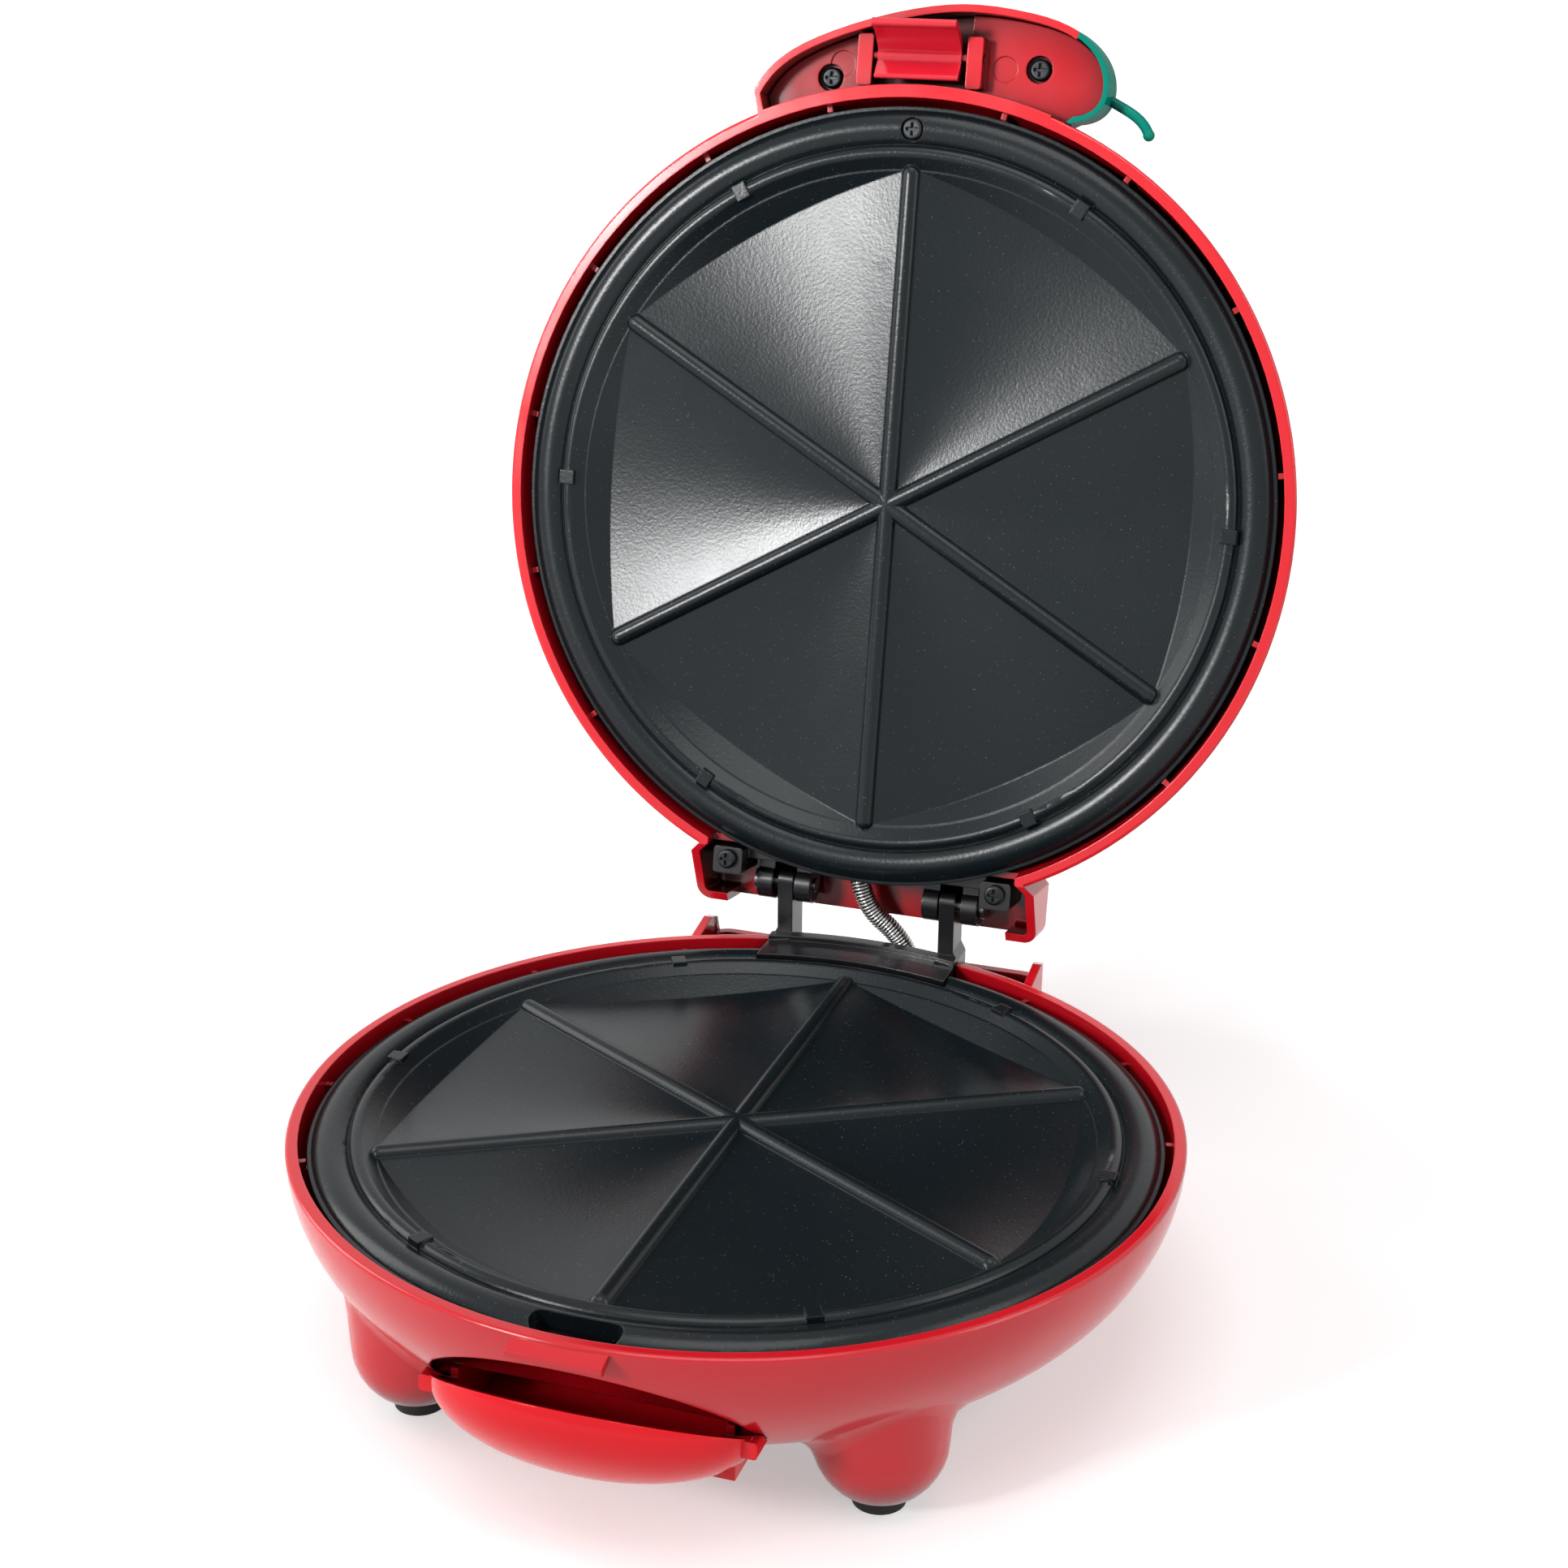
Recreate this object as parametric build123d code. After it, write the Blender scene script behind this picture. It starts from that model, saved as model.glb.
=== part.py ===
"""Countertop quesadilla maker with a hinged lid, a chilli-shaped handle and a drip tray.

Every piece is drawn in one frame, with the centre of the base's rim as its origin,
+X to the right, +Y to the back and +Z up. Lid pieces are drawn closed and then swung
open about the hinge. At the end the machine is set down with its feet on z = 0.
"""
from build123d import *
from math import atan, cos, degrees, hypot, radians, sin, sqrt, tan
import os

os.makedirs("parts", exist_ok=True)

# %% Driving dimensions, in millimetres and degrees

# The two housings
RIM_R = 115.0  # outer radius at the rim, base and lid alike
RIM_WALL = 3.2  # wall at the rim
WALL = 2.6  # moulded wall elsewhere
RIM_HEIGHT = 58.5  # base rim above the table
RIM_GAP = 1.0  # between the closed rims
RIM_ROUND = 0.9  # rounding of both rims' edges
BOWL_DEPTH = 46.0
BOWL_FLOOR_R = 60.0
DOME_HEIGHT = 42.0
DOME_TOP_R = 38.0
DEPTH_MIDDLE = 25.85  # middle of the open machine's depth, behind the plate's centre

# Clearances
SLIDE_GAP = 0.3  # between moulded pieces that move past each other
PIN_GAP = 0.05  # radial, round a turning shaft
FIT_GAP = 0.02  # radial, round a fixed shaft

# Legs and their rubber pads
LEG_R = 16.5
LEG_FILLET = 6.0
LEG_FLARE = 1.2  # how much wider the leg is where it meets the bowl
FRONT_LEG_X = 59.8
FRONT_LEG_Y = -66.8
REAR_LEG_X = 52.0
REAR_LEG_Y = 73.5
PAD_R = 6.5
PAD_SHOW = 1.5
PAD_SINK = 1.5

# Cooking plates, measured from the rim plane of the housing that holds them
PLATE_GAP = 2.2  # between the rim's wall and the plate's edge
PLATE_T = 2.4
FLANGE_W = 1.0
FLANGE_DROP = 3.0
FLANGE_T = 2.2
BEAD_DROP = 0.3
BEAD_CREST_R = 103.8
VALLEY_R = 99.2
VALLEY_DROP = 2.3
RING_CREST_R = 97.2
RING_IN_R = 95.6
RING_IN_DROP = 0.8
POCKET_WALL_RUN = 10.0  # how far the pocket's outer wall slopes inwards
POCKET_DEPTH = 7.4  # at the foot of that wall, in the middle of a wedge
HUB_DROP = 3.0  # wedge floors, at the plate's centre
WEDGES = 6
RIDGE_R = 2.7
RIDGE_DROP = 0.9
RIDGE_END_R = 94.2
BLOCK_LENGTH = 4.4
BLOCK_WIDTH = 4.0
BLOCK_RISE = 0.2
SLOT_LENGTH = 22.4
SLOT_WIDTH = 5.6
SLOT_Y = -105.6
SPOUT_WALL = 1.4
SPOUT_DROP = 9.4
PLATE_SCREW_Y = -103.4
WEB_HALF_W = 1.6  # half the level strip under each ridge
TIP_LIFT = 0.05  # keeps the pocket's tip rounded
WEB_LEDGE = 0.4  # level step at the head of the pocket's wall
UNDER_R = 88.0
UNDER_RUN = 4.0
SEAT_WIDTH = 2.0
SEAT_DEPTH = 5.0
NIB_DROP = 3.2
RIB_T = 1.6
LOWER_RIBS = [-150, -122, -58, -30, -8, 14, 38, 62, 118, 142, 166, 188]
UPPER_RIBS = [-165, -141, -39, -15, 9, 33, 57, 77, 103, 123, 147, 171]

# Heating under each plate
ELEMENT_R = 68.0
ELEMENT_TUBE_R = 3.3
ELEMENT_OPEN_ANGLE = 34.0
GROOVE_DROP = 11.6
GROOVE_CHEEK = 2.2
SHIELD_R = 92.0
SHIELD_T = 0.8
SHIELD_DROP = 18.0
SHIELD_LIP_DROP = 11.0
SHIELD_LIP_RUN = 5.0
STUD_RING_R = 42.0
STUD_R = 4.0
STUDS = 3
STUD_START = 90.0
PIN_R = 1.2
PIN_LENGTH = 9.0
THERMOSTAT_R = 8.0
THERMOSTAT_H = 6.6

# Screws
SCREW_R = 1.5
SCREW_HEAD_R = 2.9
SCREW_HEAD_H = 1.9
SCREW_LENGTH = 8.0

# Catch ledge at the front of the base
LEDGE_W = 23.2
LEDGE_FRONT_Y = -118.6
LEDGE_T = 1.7
LEDGE_DROP = 0.5
LEDGE_SLOPE = 1.5
LEDGE_LIP_DROP = 4.1

# Tray bay and drip tray
BAY_WALL = 1.8
BAY_ARCH_TOP = -7.5
BAY_AXIS_Z = -27.0
BAY_BACK_Y = -97.0
DRAWER_BACK_Y = -70.0
DRAWER_HALF_W = 35.0
DRAWER_TOP_Z = -24.0
TRAY_HALF_W = 39.5
TRAY_AXIS_Y = -97.0
TRAY_REACH = 24.0
TRAY_DEPTH = 16.1
TRAY_TILT = 29.4
TRAY_WALL = 2.0
TRAY_FLOOR_Z = -38.5
TAB_IN = 4.0
TAB_LOW_Z = -29.2
TAB_END_X = 41.6
TAB_W = 5.0
TAB_H = 4.4

# Rear box of the base, round the hinge
REAR_BOX_HALF_W = 52.5
REAR_BOX_BACK_Y = 124.0
REAR_BOX_BOTTOM = -27.0
REAR_BOX_TOP = -6.0
FIN_TOP = 0.8
FIN_TOP_Y = 117.0
FIN_FOOT = -1.6
FIN_T = 3.0
REAR_BOX_ROUND = 7.0

# Hinge
HINGE_Y = 115.2
HINGE_Z = 16.0
OPEN_ANGLE = 100.2
HINGE_PIN_R = 2.0
BRACKET_HALF_W = 28.5
BRACKET_IN_R = 99.8
BRACKET_OUT_R = 113.4
BRACKET_BOTTOM = -9.0
BRACKET_TOP = 0.3
BRACKET_CREST = 1.8
BRACKET_SCREW_X = 22.5
BRACKET_SCREW_Y = 102.0
POST_R = 3.6
POST_FOOT = -14.0
CREST_IN_R = 110.0
SCREW_BITE = 7.0
EAR_IN_X = 22.5
EAR_T = 4.6
EAR_FRONT_Y = 110.3
EAR_BACK_Y = 119.8
EAR_TOP = 20.6
EAR_ROUND = 3.0
EAR_FLARE = 3.0
EAR_FOOT_Y = 106.0
KNUCKLE_R = 5.4
KNUCKLE_T = 4.8
KNUCKLE_IN_X = 17.2
KNUCKLE_OUT_X = 28.9
PIN_HEAD_T = 1.5
LUG_X = 40.6  # the lug's screw
LUG_Y = 107.6
LUG_W = 8.9
LUG_IN_Y = 104.2
LUG_OUT_Y = 112.2
LUG_BITE = 4.0
BRIDGE_BACK_Y = 108.0
BRIDGE_FRONT = 9.0
LUG_FRONT = 3.0
LUG_BACK_Z = 18.0

# Hinge box of the lid
BOX_NECK_X = 49.0
BOX_NECK_Y = 103.5
BOX_HALF_W = 52.0
BOX_BACK_Y = 122.6
BOX_ROOF = 26.0
BOX_OPEN_HALF_W = 42.8
BOX_EDGE_RISE = 12.5
BOX_ROOF_ROUND = 4.0
PARTITION_Y = 101.2
PARTITION_T = 2.0

# Handle on the lid
HANDLE_TOP = 17.0
HANDLE_WALL = 2.0
CAP_WALL = 1.5
HANDLE_ROUND = 6.0
CAP_FRONT_X = 44.6
CAP_BACK_X = 38.5
CAP_FRONT_Y = -130.5
CAP_LINE_Y = 23.0  # from the front to the back end of the joint
COVER_SEAT = 12.0
COVER_BITE = 3.5
MARK_X = 23.2
MARK_Y = -120.7
MARK_R = 3.5
COVER_FACE = 8.0
COVER_T = 2.0
UPRIGHT_FACE = 3.5
UPRIGHT_W = 4.4
UPRIGHT_FRONT_Y = -128.6
UPRIGHT_BACK_Y = -114.8
BAY_HALF_W = 13.4
BAY_FLOOR = 12.0
STEM_R = 1.4
STEM_TIP_R = 1.6
STEM_Z = 9.0

# Latch
LATCH_Y = -123.0
LATCH_Z = 5.3
LATCH_HALF_W = 11.9
LATCH_HUB_R = 2.2
LATCH_STUB_R = 1.2
LATCH_REACH = 12.0
LATCH_REST = 228.7
HOOK_R = 1.2
HOOK_T = 1.8
HOOK_BOW = 1.1
INNER_REACH = 6.7
INNER_REST = -32.0
INNER_T = 1.6
STUB_REACH = 16.5

# Cable conduit between base and lid
CONDUIT_R = 3.0
CONDUIT_BORE_R = 2.1
CONDUIT_X = 13.0
CONDUIT_Z = -16.0
CONDUIT_BACK_Y = 117.3
CONDUIT_END_Y = 100.0
CONDUIT_WALL_Y = 110.0
BUSH_LENGTH = 8.5
BUSH_FLANGE = 1.0
CONDUIT_HOLD = 6.0
CONDUIT_DROP = 12.8
BUSH_R = 4.8
LID_BUSH_X = -4.0
LID_BUSH_Z = 13.0
LID_BUSH_BACK_Y = 103.6

# Mains inlet and wiring
GLAND_X = -30.0
GLAND_Z = -15.5
GLAND_R = 5.0
GLAND_BORE_R = 3.0
TERMINAL_X = -25.0
TERMINAL_Y = 40.0
TERMINAL_L = 24.0
TERMINAL_W = 14.0
TERMINAL_H = 10.0
FUSE_R = 2.2
FUSE_L = 14.0
PLATE_BITE = 8.0

# Lamps in the lid
LAMP_X = 9.0
LAMP_Y = -30.0
LENS_R = 3.6
LENS_SHOW = 1.4
LAMP_STEM_R = 2.8

# %% Helpers: profiles are drawn in two numbers and set into the machine


def face_of(*edges):
    """A flat face bounded by edges that join end to end."""
    return make_face(list(edges))


def spun(face):
    """Turn a face drawn as (radius, height) round the plate's centre line."""
    return revolve(Plane.XZ * face, Axis.Z)


def across(face, x0, x1):
    """Run a face drawn as (y, z) from x0 to x1."""
    plane = Plane(origin=(x0, 0, 0), x_dir=(0, 1, 0), z_dir=(1, 0, 0))
    return extrude(plane * face, amount=x1 - x0)


def deep(face, y0, y1):
    """Run a face drawn as (x, z) from y0 back to y1."""
    return extrude(Plane.XZ.offset(-y1) * face, amount=y1 - y0)


def tall(face, z0, z1):
    """Run a face drawn as (x, y) from z0 up to z1."""
    return extrude(Pos(0, 0, z0) * face, amount=z1 - z0)


def block(x0, x1, y0, y1, z0, z1):
    """A box given by its six faces."""
    return Pos((x0 + x1) / 2, (y0 + y1) / 2, (z0 + z1) / 2) * Box(x1 - x0, y1 - y0, z1 - z0)


def rod(x, y, z0, z1, r):
    """An upright cylinder."""
    return Pos(x, y, (z0 + z1) / 2) * Cylinder(r, z1 - z0)


def cross_rod(y, z, x0, x1, r):
    """A cylinder along X."""
    return Pos((x0 + x1) / 2, y, z) * Rot(0, 90, 0) * Cylinder(r, x1 - x0)


def both_sides(piece):
    """A piece and its mirror image on the other side of the machine."""
    return piece + mirror(piece, Plane.YZ)


def ring_of(piece, count, start=0.0):
    """Copies of a piece at even angles round the centre line."""
    return [Rot(0, 0, start + i * 360 / count) * piece for i in range(count)]


def solids_of(pieces):
    """Separate solids held in one node."""
    return Compound(children=[s for piece in pieces for s in piece.solids()])


def dish(rim_r, floor_r, depth):
    """A bowl-shaped solid below the rim plane, with an elliptical side and a flat floor."""
    side = EllipticalCenterArc((floor_r, 0), rim_r - floor_r, depth, 270, arc_size=90)
    rest = Polyline((rim_r, 0), (0, 0), (0, -depth), (floor_r, -depth))
    return spun(face_of(side, rest))


def dome(rim_r, top_r, height):
    """A dome-shaped solid standing on the lid's rim plane."""
    side = EllipticalCenterArc((top_r, RIM_GAP), rim_r - top_r, height, 0, arc_size=90)
    rest = Polyline((top_r, RIM_GAP + height), (0, RIM_GAP + height), (0, RIM_GAP), (rim_r, RIM_GAP))
    return spun(face_of(side, rest))


# %% Values that follow from the driving dimensions

RIM_IN_R = RIM_R - RIM_WALL
PLATE_R = RIM_IN_R - PLATE_GAP
FLANGE_IN_R = PLATE_R - FLANGE_W
FLANGE_UNDER = FLANGE_DROP + FLANGE_T
FLOOR_SLOPE = (POCKET_DEPTH - HUB_DROP) / (RING_IN_R - POCKET_WALL_RUN)
PLATE_UNDER = POCKET_DEPTH + PLATE_T
HALF_WEDGE = 180 / WEDGES
LEG_TIP = -(RIM_HEIGHT - PAD_SHOW)
LEG_SPOTS = [
    (FRONT_LEG_X, FRONT_LEG_Y),
    (-FRONT_LEG_X, FRONT_LEG_Y),
    (REAR_LEG_X, REAR_LEG_Y),
    (-REAR_LEG_X, REAR_LEG_Y),
]
LEG_ROOT = -0.45 * BOWL_DEPTH
TRAY_DROP = hypot(TRAY_REACH * sin(radians(TRAY_TILT)), TRAY_DEPTH * cos(radians(TRAY_TILT)))
BAY_HALF = TRAY_HALF_W + 2 * SLIDE_GAP
EAR_OUT_X = EAR_IN_X + EAR_T

# %% Cooking plates, drawn face up with the rim plane at z = 0


def pocket():
    """The hollow of one wedge, round +X: a wide cone with its tip near the hub, inside one sloping wall.

    The cone is tilted so that it meets the hub's level along both edges of the wedge and falls by
    FLOOR_SLOPE along the middle of the wedge.
    """
    fall = atan(FLOOR_SLOPE)
    lean = atan((cos(fall) - cos(radians(HALF_WEDGE))) / sin(fall))
    half_angle = lean + fall
    height = 0.45 * RIM_R
    on_tip = (Align.CENTER, Align.CENTER, Align.MIN)
    cone = Rot(0, 90 - degrees(lean), 0) * Cone(0, height * tan(half_angle), height, align=on_tip)
    tip_x = WEB_HALF_W / sin(radians(HALF_WEDGE))
    tip_z = -HUB_DROP + TIP_LIFT
    run = POCKET_WALL_RUN / (POCKET_DEPTH - RING_IN_DROP)
    low, high = -1.2 * POCKET_DEPTH, -HUB_DROP + 1
    wall = Cone(RING_IN_R + run * (low + RING_IN_DROP), RING_IN_R + run * (high + RING_IN_DROP), high - low,
                align=on_tip)
    return (Pos(tip_x, 0, tip_z) * cone) & (Pos(0, 0, low) * wall)


def plate_profile():
    """Half section of the plate: flange, broad bead, narrow ring, sloping wall and hub level."""
    web_r = RING_IN_R - POCKET_WALL_RUN * (HUB_DROP - RING_IN_DROP) / (POCKET_DEPTH - RING_IN_DROP)
    rim = [
        Polyline((PLATE_R, -FLANGE_UNDER), (PLATE_R, -FLANGE_DROP), (FLANGE_IN_R, -FLANGE_DROP)),
        ThreePointArc((FLANGE_IN_R, -FLANGE_DROP), (BEAD_CREST_R, -BEAD_DROP), (VALLEY_R, -VALLEY_DROP)),
        ThreePointArc((VALLEY_R, -VALLEY_DROP), (RING_CREST_R, -BEAD_DROP), (RING_IN_R, -RING_IN_DROP)),
    ]
    middle = Polyline((RING_IN_R, -RING_IN_DROP), (web_r + WEB_LEDGE, -HUB_DROP), (0, -HUB_DROP), (0, -PLATE_UNDER),
                      (UNDER_R, -PLATE_UNDER), (UNDER_R + UNDER_RUN, -FLANGE_UNDER), (PLATE_R, -FLANGE_UNDER))
    return face_of(*rim, middle)


def ridge():
    """One half-round rib between two pockets, with a rounded outer end."""
    length = RIDGE_END_R - RIDGE_R
    bar = Rot(0, 90, 0) * Cylinder(RIDGE_R, length, align=(Align.CENTER, Align.CENTER, Align.MIN))
    end = Pos(length, 0, 0) * Sphere(RIDGE_R)
    return Pos(0, 0, -RIDGE_DROP - RIDGE_R) * (bar + end)


def plate_blank():
    """The cast plate that base and lid share, face up, with the heater's groove and studs underneath."""
    plate = spun(plate_profile())
    for hollow in ring_of(pocket(), WEDGES):
        plate = plate - hollow
    half = BLOCK_LENGTH / 2
    notch = block(RING_CREST_R - half, RING_CREST_R + half, -BLOCK_WIDTH / 2, BLOCK_WIDTH / 2, -VALLEY_DROP - 1,
                  BLOCK_RISE)
    plate = plate + ring_of(ridge(), WEDGES, HALF_WEDGE) + ring_of(notch, WEDGES)
    cheeks = rod(0, 0, -GROOVE_DROP, -PLATE_UNDER, ELEMENT_R + ELEMENT_TUBE_R + GROOVE_CHEEK)
    cheeks = cheeks - rod(0, 0, -GROOVE_DROP, -PLATE_UNDER, ELEMENT_R - ELEMENT_TUBE_R - GROOVE_CHEEK)
    stud = rod(STUD_RING_R, 0, -SHIELD_DROP + SHIELD_T, -PLATE_UNDER, STUD_R)
    plate = plate + cheeks + ring_of(stud, STUDS, STUD_START)
    screw_hole = rod(STUD_RING_R, 0, -SHIELD_DROP, -SHIELD_DROP + SCREW_LENGTH, SCREW_R + FIT_GAP)
    groove = Pos(0, 0, -GROOVE_DROP) * Torus(ELEMENT_R, ELEMENT_TUBE_R + FIT_GAP)
    return plate - groove - ring_of(screw_hole, STUDS, STUD_START)


def lower_plate(blank):
    """The base's plate: a drain slot with a spout at the front and room for the hinge bracket at the back."""
    spout = Pos(0, SLOT_Y) * SlotOverall(SLOT_LENGTH + 2 * SPOUT_WALL, SLOT_WIDTH + 2 * SPOUT_WALL)
    slot = Pos(0, SLOT_Y) * SlotOverall(SLOT_LENGTH, SLOT_WIDTH)
    plate = blank + tall(spout, -SPOUT_DROP, -FLANGE_UNDER + 1)
    plate = plate - tall(slot, -2 * SPOUT_DROP, SPOUT_DROP)
    half = BRACKET_HALF_W + SLIDE_GAP
    back = block(-half, half, 0, RIM_R, -SPOUT_DROP, SPOUT_DROP)
    return plate - (back - rod(0, 0, -2 * SPOUT_DROP, 2 * SPOUT_DROP, BRACKET_IN_R - SLIDE_GAP))


def upper_plate(blank):
    """The lid's plate, face down above the lid's rim plane, with a counterbored screw hole at the front."""
    hole = rod(0, -PLATE_SCREW_Y, -2 * FLANGE_UNDER, 1, SCREW_R + FIT_GAP)
    head = rod(0, -PLATE_SCREW_Y, -BEAD_DROP - SCREW_HEAD_H, 1, SCREW_HEAD_R + SLIDE_GAP)
    return face_down(blank - hole - head)


def face_down(piece):
    """Turn a piece drawn face up over, onto the lid's rim plane."""
    return Pos(0, 0, RIM_GAP) * Rot(180, 0, 0) * piece


def heating_element():
    """A tubular heater bent to an open ring, with a cold pin at each end."""
    ring = Plane.XZ * Pos(ELEMENT_R, -GROOVE_DROP) * Circle(ELEMENT_TUBE_R)
    turn = 360 - ELEMENT_OPEN_ANGLE
    tube = Rot(0, 0, 90 + ELEMENT_OPEN_ANGLE / 2) * revolve(ring, Axis.Z, turn)
    pins = []
    for side in (-1, 1):
        a = radians(90 + side * ELEMENT_OPEN_ANGLE / 2)
        heading = 90 + side * ELEMENT_OPEN_ANGLE / 2 - side * 90
        along_z = Cylinder(PIN_R, PIN_LENGTH, align=(Align.CENTER, Align.CENTER, Align.MIN))
        pin = Rot(0, 0, heading) * Rot(0, 90, 0) * along_z
        pins.append(Pos(ELEMENT_R * cos(a), ELEMENT_R * sin(a), -GROOVE_DROP) * pin)
    return tube + pins


def heat_shield():
    """A shallow pressed dish that closes off the back of the heater, screwed to the plate's studs."""
    up, run, flat_r = -SHIELD_LIP_DROP, SHIELD_LIP_RUN, SHIELD_R - SHIELD_LIP_RUN
    low = -SHIELD_DROP
    skin = Polyline((0, low), (flat_r, low), (flat_r + run, up), (flat_r + run - SHIELD_T, up),
                    (flat_r - SHIELD_T / 2, low + SHIELD_T), (0, low + SHIELD_T), close=True)
    hole = rod(STUD_RING_R, 0, 2 * low, 0, SCREW_R + FIT_GAP)
    return spun(make_face(skin)) - ring_of(hole, STUDS, STUD_START)


def screw(length=SCREW_LENGTH):
    """A pan-head screw standing on its tip side: head above z = 0, shank below, with a cross recess."""
    head = rod(0, 0, 0, SCREW_HEAD_H, SCREW_HEAD_R)
    head = fillet(head.edges().group_by(Axis.Z)[-1], 0.45 * SCREW_HEAD_H)
    arm = 0.62 * SCREW_HEAD_R
    recess = Box(2 * arm, 0.22 * arm * 2, SCREW_HEAD_H) + Box(0.22 * arm * 2, 2 * arm, SCREW_HEAD_H)
    return head + rod(0, 0, -length, 0, SCREW_R) - Pos(0, 0, SCREW_HEAD_H) * recess


def shield_screws():
    """The screws that hold the heat shield to the plate's studs, heads down."""
    one = Pos(STUD_RING_R, 0, -SHIELD_DROP) * Rot(180, 0, 0) * screw(SCREW_LENGTH - 1)
    return solids_of(ring_of(one, STUDS, STUD_START))


def thermostat():
    """A disc thermostat clipped under the middle of the plate, with two blade terminals."""
    top = -PLATE_UNDER
    can = rod(0, 0, top - THERMOSTAT_H, top, THERMOSTAT_R)
    blade = block(-THERMOSTAT_R - 3.5, -THERMOSTAT_R + 1, -1.6, 1.6, top - THERMOSTAT_H + 1, top - THERMOSTAT_H + 1.8)
    return can + [blade, Rot(0, 0, 180) * blade]


# %% Base


def leg(grow=0.0):
    """A round-ended leg that widens slightly towards the bowl."""
    r = LEG_R + grow
    tip_z = LEG_TIP - grow
    round_z = tip_z + r
    side = Polyline((r, round_z), (r + LEG_FLARE, LEG_ROOT), (0, LEG_ROOT), (0, tip_z))
    halfway = (r * sin(radians(45)), round_z - r * cos(radians(45)))
    return spun(face_of(ThreePointArc((0, tip_z), halfway, (r, round_z)), side))


def bay_outline(grow):
    """Front outline of the tray bay: an arch over an elliptical bowl with a flat floor."""
    half = BAY_HALF + grow
    rise = BAY_ARCH_TOP - BAY_AXIS_Z + grow
    drop = TRAY_DROP + 2 * SLIDE_GAP + grow
    arch = EllipticalCenterArc((0, BAY_AXIS_Z), half, rise, 0, arc_size=180)
    bowl = EllipticalCenterArc((0, BAY_AXIS_Z), half, drop, 180, arc_size=180)
    floor = Pos(0, TRAY_FLOOR_Z - SLIDE_GAP - grow - RIM_R) * Rectangle(2 * RIM_R, 2 * RIM_R)
    return face_of(arch, bowl) - floor


def tray_bay(grow):
    """The bay the drip tray slides into: an arched mouth with a low drawer space behind it."""
    mouth = deep(bay_outline(grow), -RIM_R - 20, BAY_BACK_Y + grow)
    half = DRAWER_HALF_W + SLIDE_GAP + grow
    drawer = block(-half, half, BAY_BACK_Y - 1, DRAWER_BACK_Y + SLIDE_GAP + grow, TRAY_FLOOR_Z - SLIDE_GAP - grow,
                   DRAWER_TOP_Z + SLIDE_GAP + grow)
    return mouth + drawer


def rear_box(shrink):
    """The box behind the bowl that takes the hinge ears and the cable conduit."""
    half, back = REAR_BOX_HALF_W - shrink, REAR_BOX_BACK_Y - shrink
    front = 0.7 * RIM_R
    outline = Pos(0, (back + front) / 2) * RectangleRounded(2 * half, back - front, REAR_BOX_ROUND - shrink)
    return tall(outline, REAR_BOX_BOTTOM + shrink, FIN_TOP + 1)


def rear_box_trim():
    """Cuts the rear box's top edge: side walls rise to a fin, the back wall stays low."""
    high = RIM_HEIGHT / 2
    top = Polyline((RIM_R * 0.6, -RIM_ROUND), (BOX_NECK_Y, FIN_FOOT), (FIN_TOP_Y - 1.5, FIN_TOP),
                   (FIN_TOP_Y + 2.5, FIN_TOP - 1.2), (REAR_BOX_BACK_Y - 2.5, REAR_BOX_TOP),
                   (REAR_BOX_BACK_Y + 1, REAR_BOX_TOP), (REAR_BOX_BACK_Y + 1, high), (RIM_R * 0.6, high), close=True)
    sides = across(make_face(top), -RIM_R, RIM_R)
    low = REAR_BOX_HALF_W - FIN_T
    between = block(-low, low, RIM_R * 0.7, REAR_BOX_BACK_Y + 1, REAR_BOX_TOP, high)
    return sides + between


def catch_ledge():
    """The ledge at the front that the lid's latch hooks under: a sloping tongue with a turned-down lip."""
    root_y = -sqrt(RIM_R ** 2 - (LEDGE_W / 2) ** 2) + 1.2
    front, back = LEDGE_FRONT_Y, LEDGE_FRONT_Y + LEDGE_T
    top, front_top = -LEDGE_DROP, -LEDGE_DROP - LEDGE_SLOPE
    outline = Polyline((root_y, top), (front, front_top), (front, -LEDGE_LIP_DROP), (back, -LEDGE_LIP_DROP),
                       (back, front_top - LEDGE_T), (root_y, top - LEDGE_T), close=True)
    tongue = across(make_face(outline), -LEDGE_W / 2, LEDGE_W / 2)
    nose = tongue.edges().filter_by(Axis.X).sort_by(Axis.Y)[0:2]
    return fillet(nose, 0.35 * LEDGE_T)


def seat_rib():
    """One rib inside the rim, round +X: a step that the plate's flange rests on and a nib that centres it."""
    in_r, nib_r, out_r = PLATE_R - SEAT_WIDTH, PLATE_R + SLIDE_GAP, RIM_IN_R + RIM_WALL / 2
    foot = -FLANGE_UNDER - SEAT_DEPTH
    outline = Polyline((in_r, -FLANGE_UNDER), (nib_r, -FLANGE_UNDER), (nib_r, -NIB_DROP), (out_r, -NIB_DROP),
                       (out_r, foot), (in_r + 1, foot), close=True)
    return extrude(Plane.XZ * make_face(outline), amount=RIB_T / 2, both=True)


def seat_ribs(angles):
    """Seat ribs at the given angles."""
    return [Rot(0, 0, a) * seat_rib() for a in angles]


def bracket_post(x):
    """A post under the hinge bracket, joined to the bowl's wall behind it."""
    web = block(x - POST_R, x + POST_R, BRACKET_SCREW_Y, RIM_R, POST_FOOT, BRACKET_BOTTOM)
    post = rod(x, BRACKET_SCREW_Y, POST_FOOT, BRACKET_BOTTOM, POST_R) + web
    post = post & dish(RIM_R - RIM_WALL / 2, BOWL_FLOOR_R, BOWL_DEPTH - WALL / 2)
    return post - rod(x, BRACKET_SCREW_Y, POST_FOOT, BRACKET_BOTTOM, SCREW_R + FIT_GAP)


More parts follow.
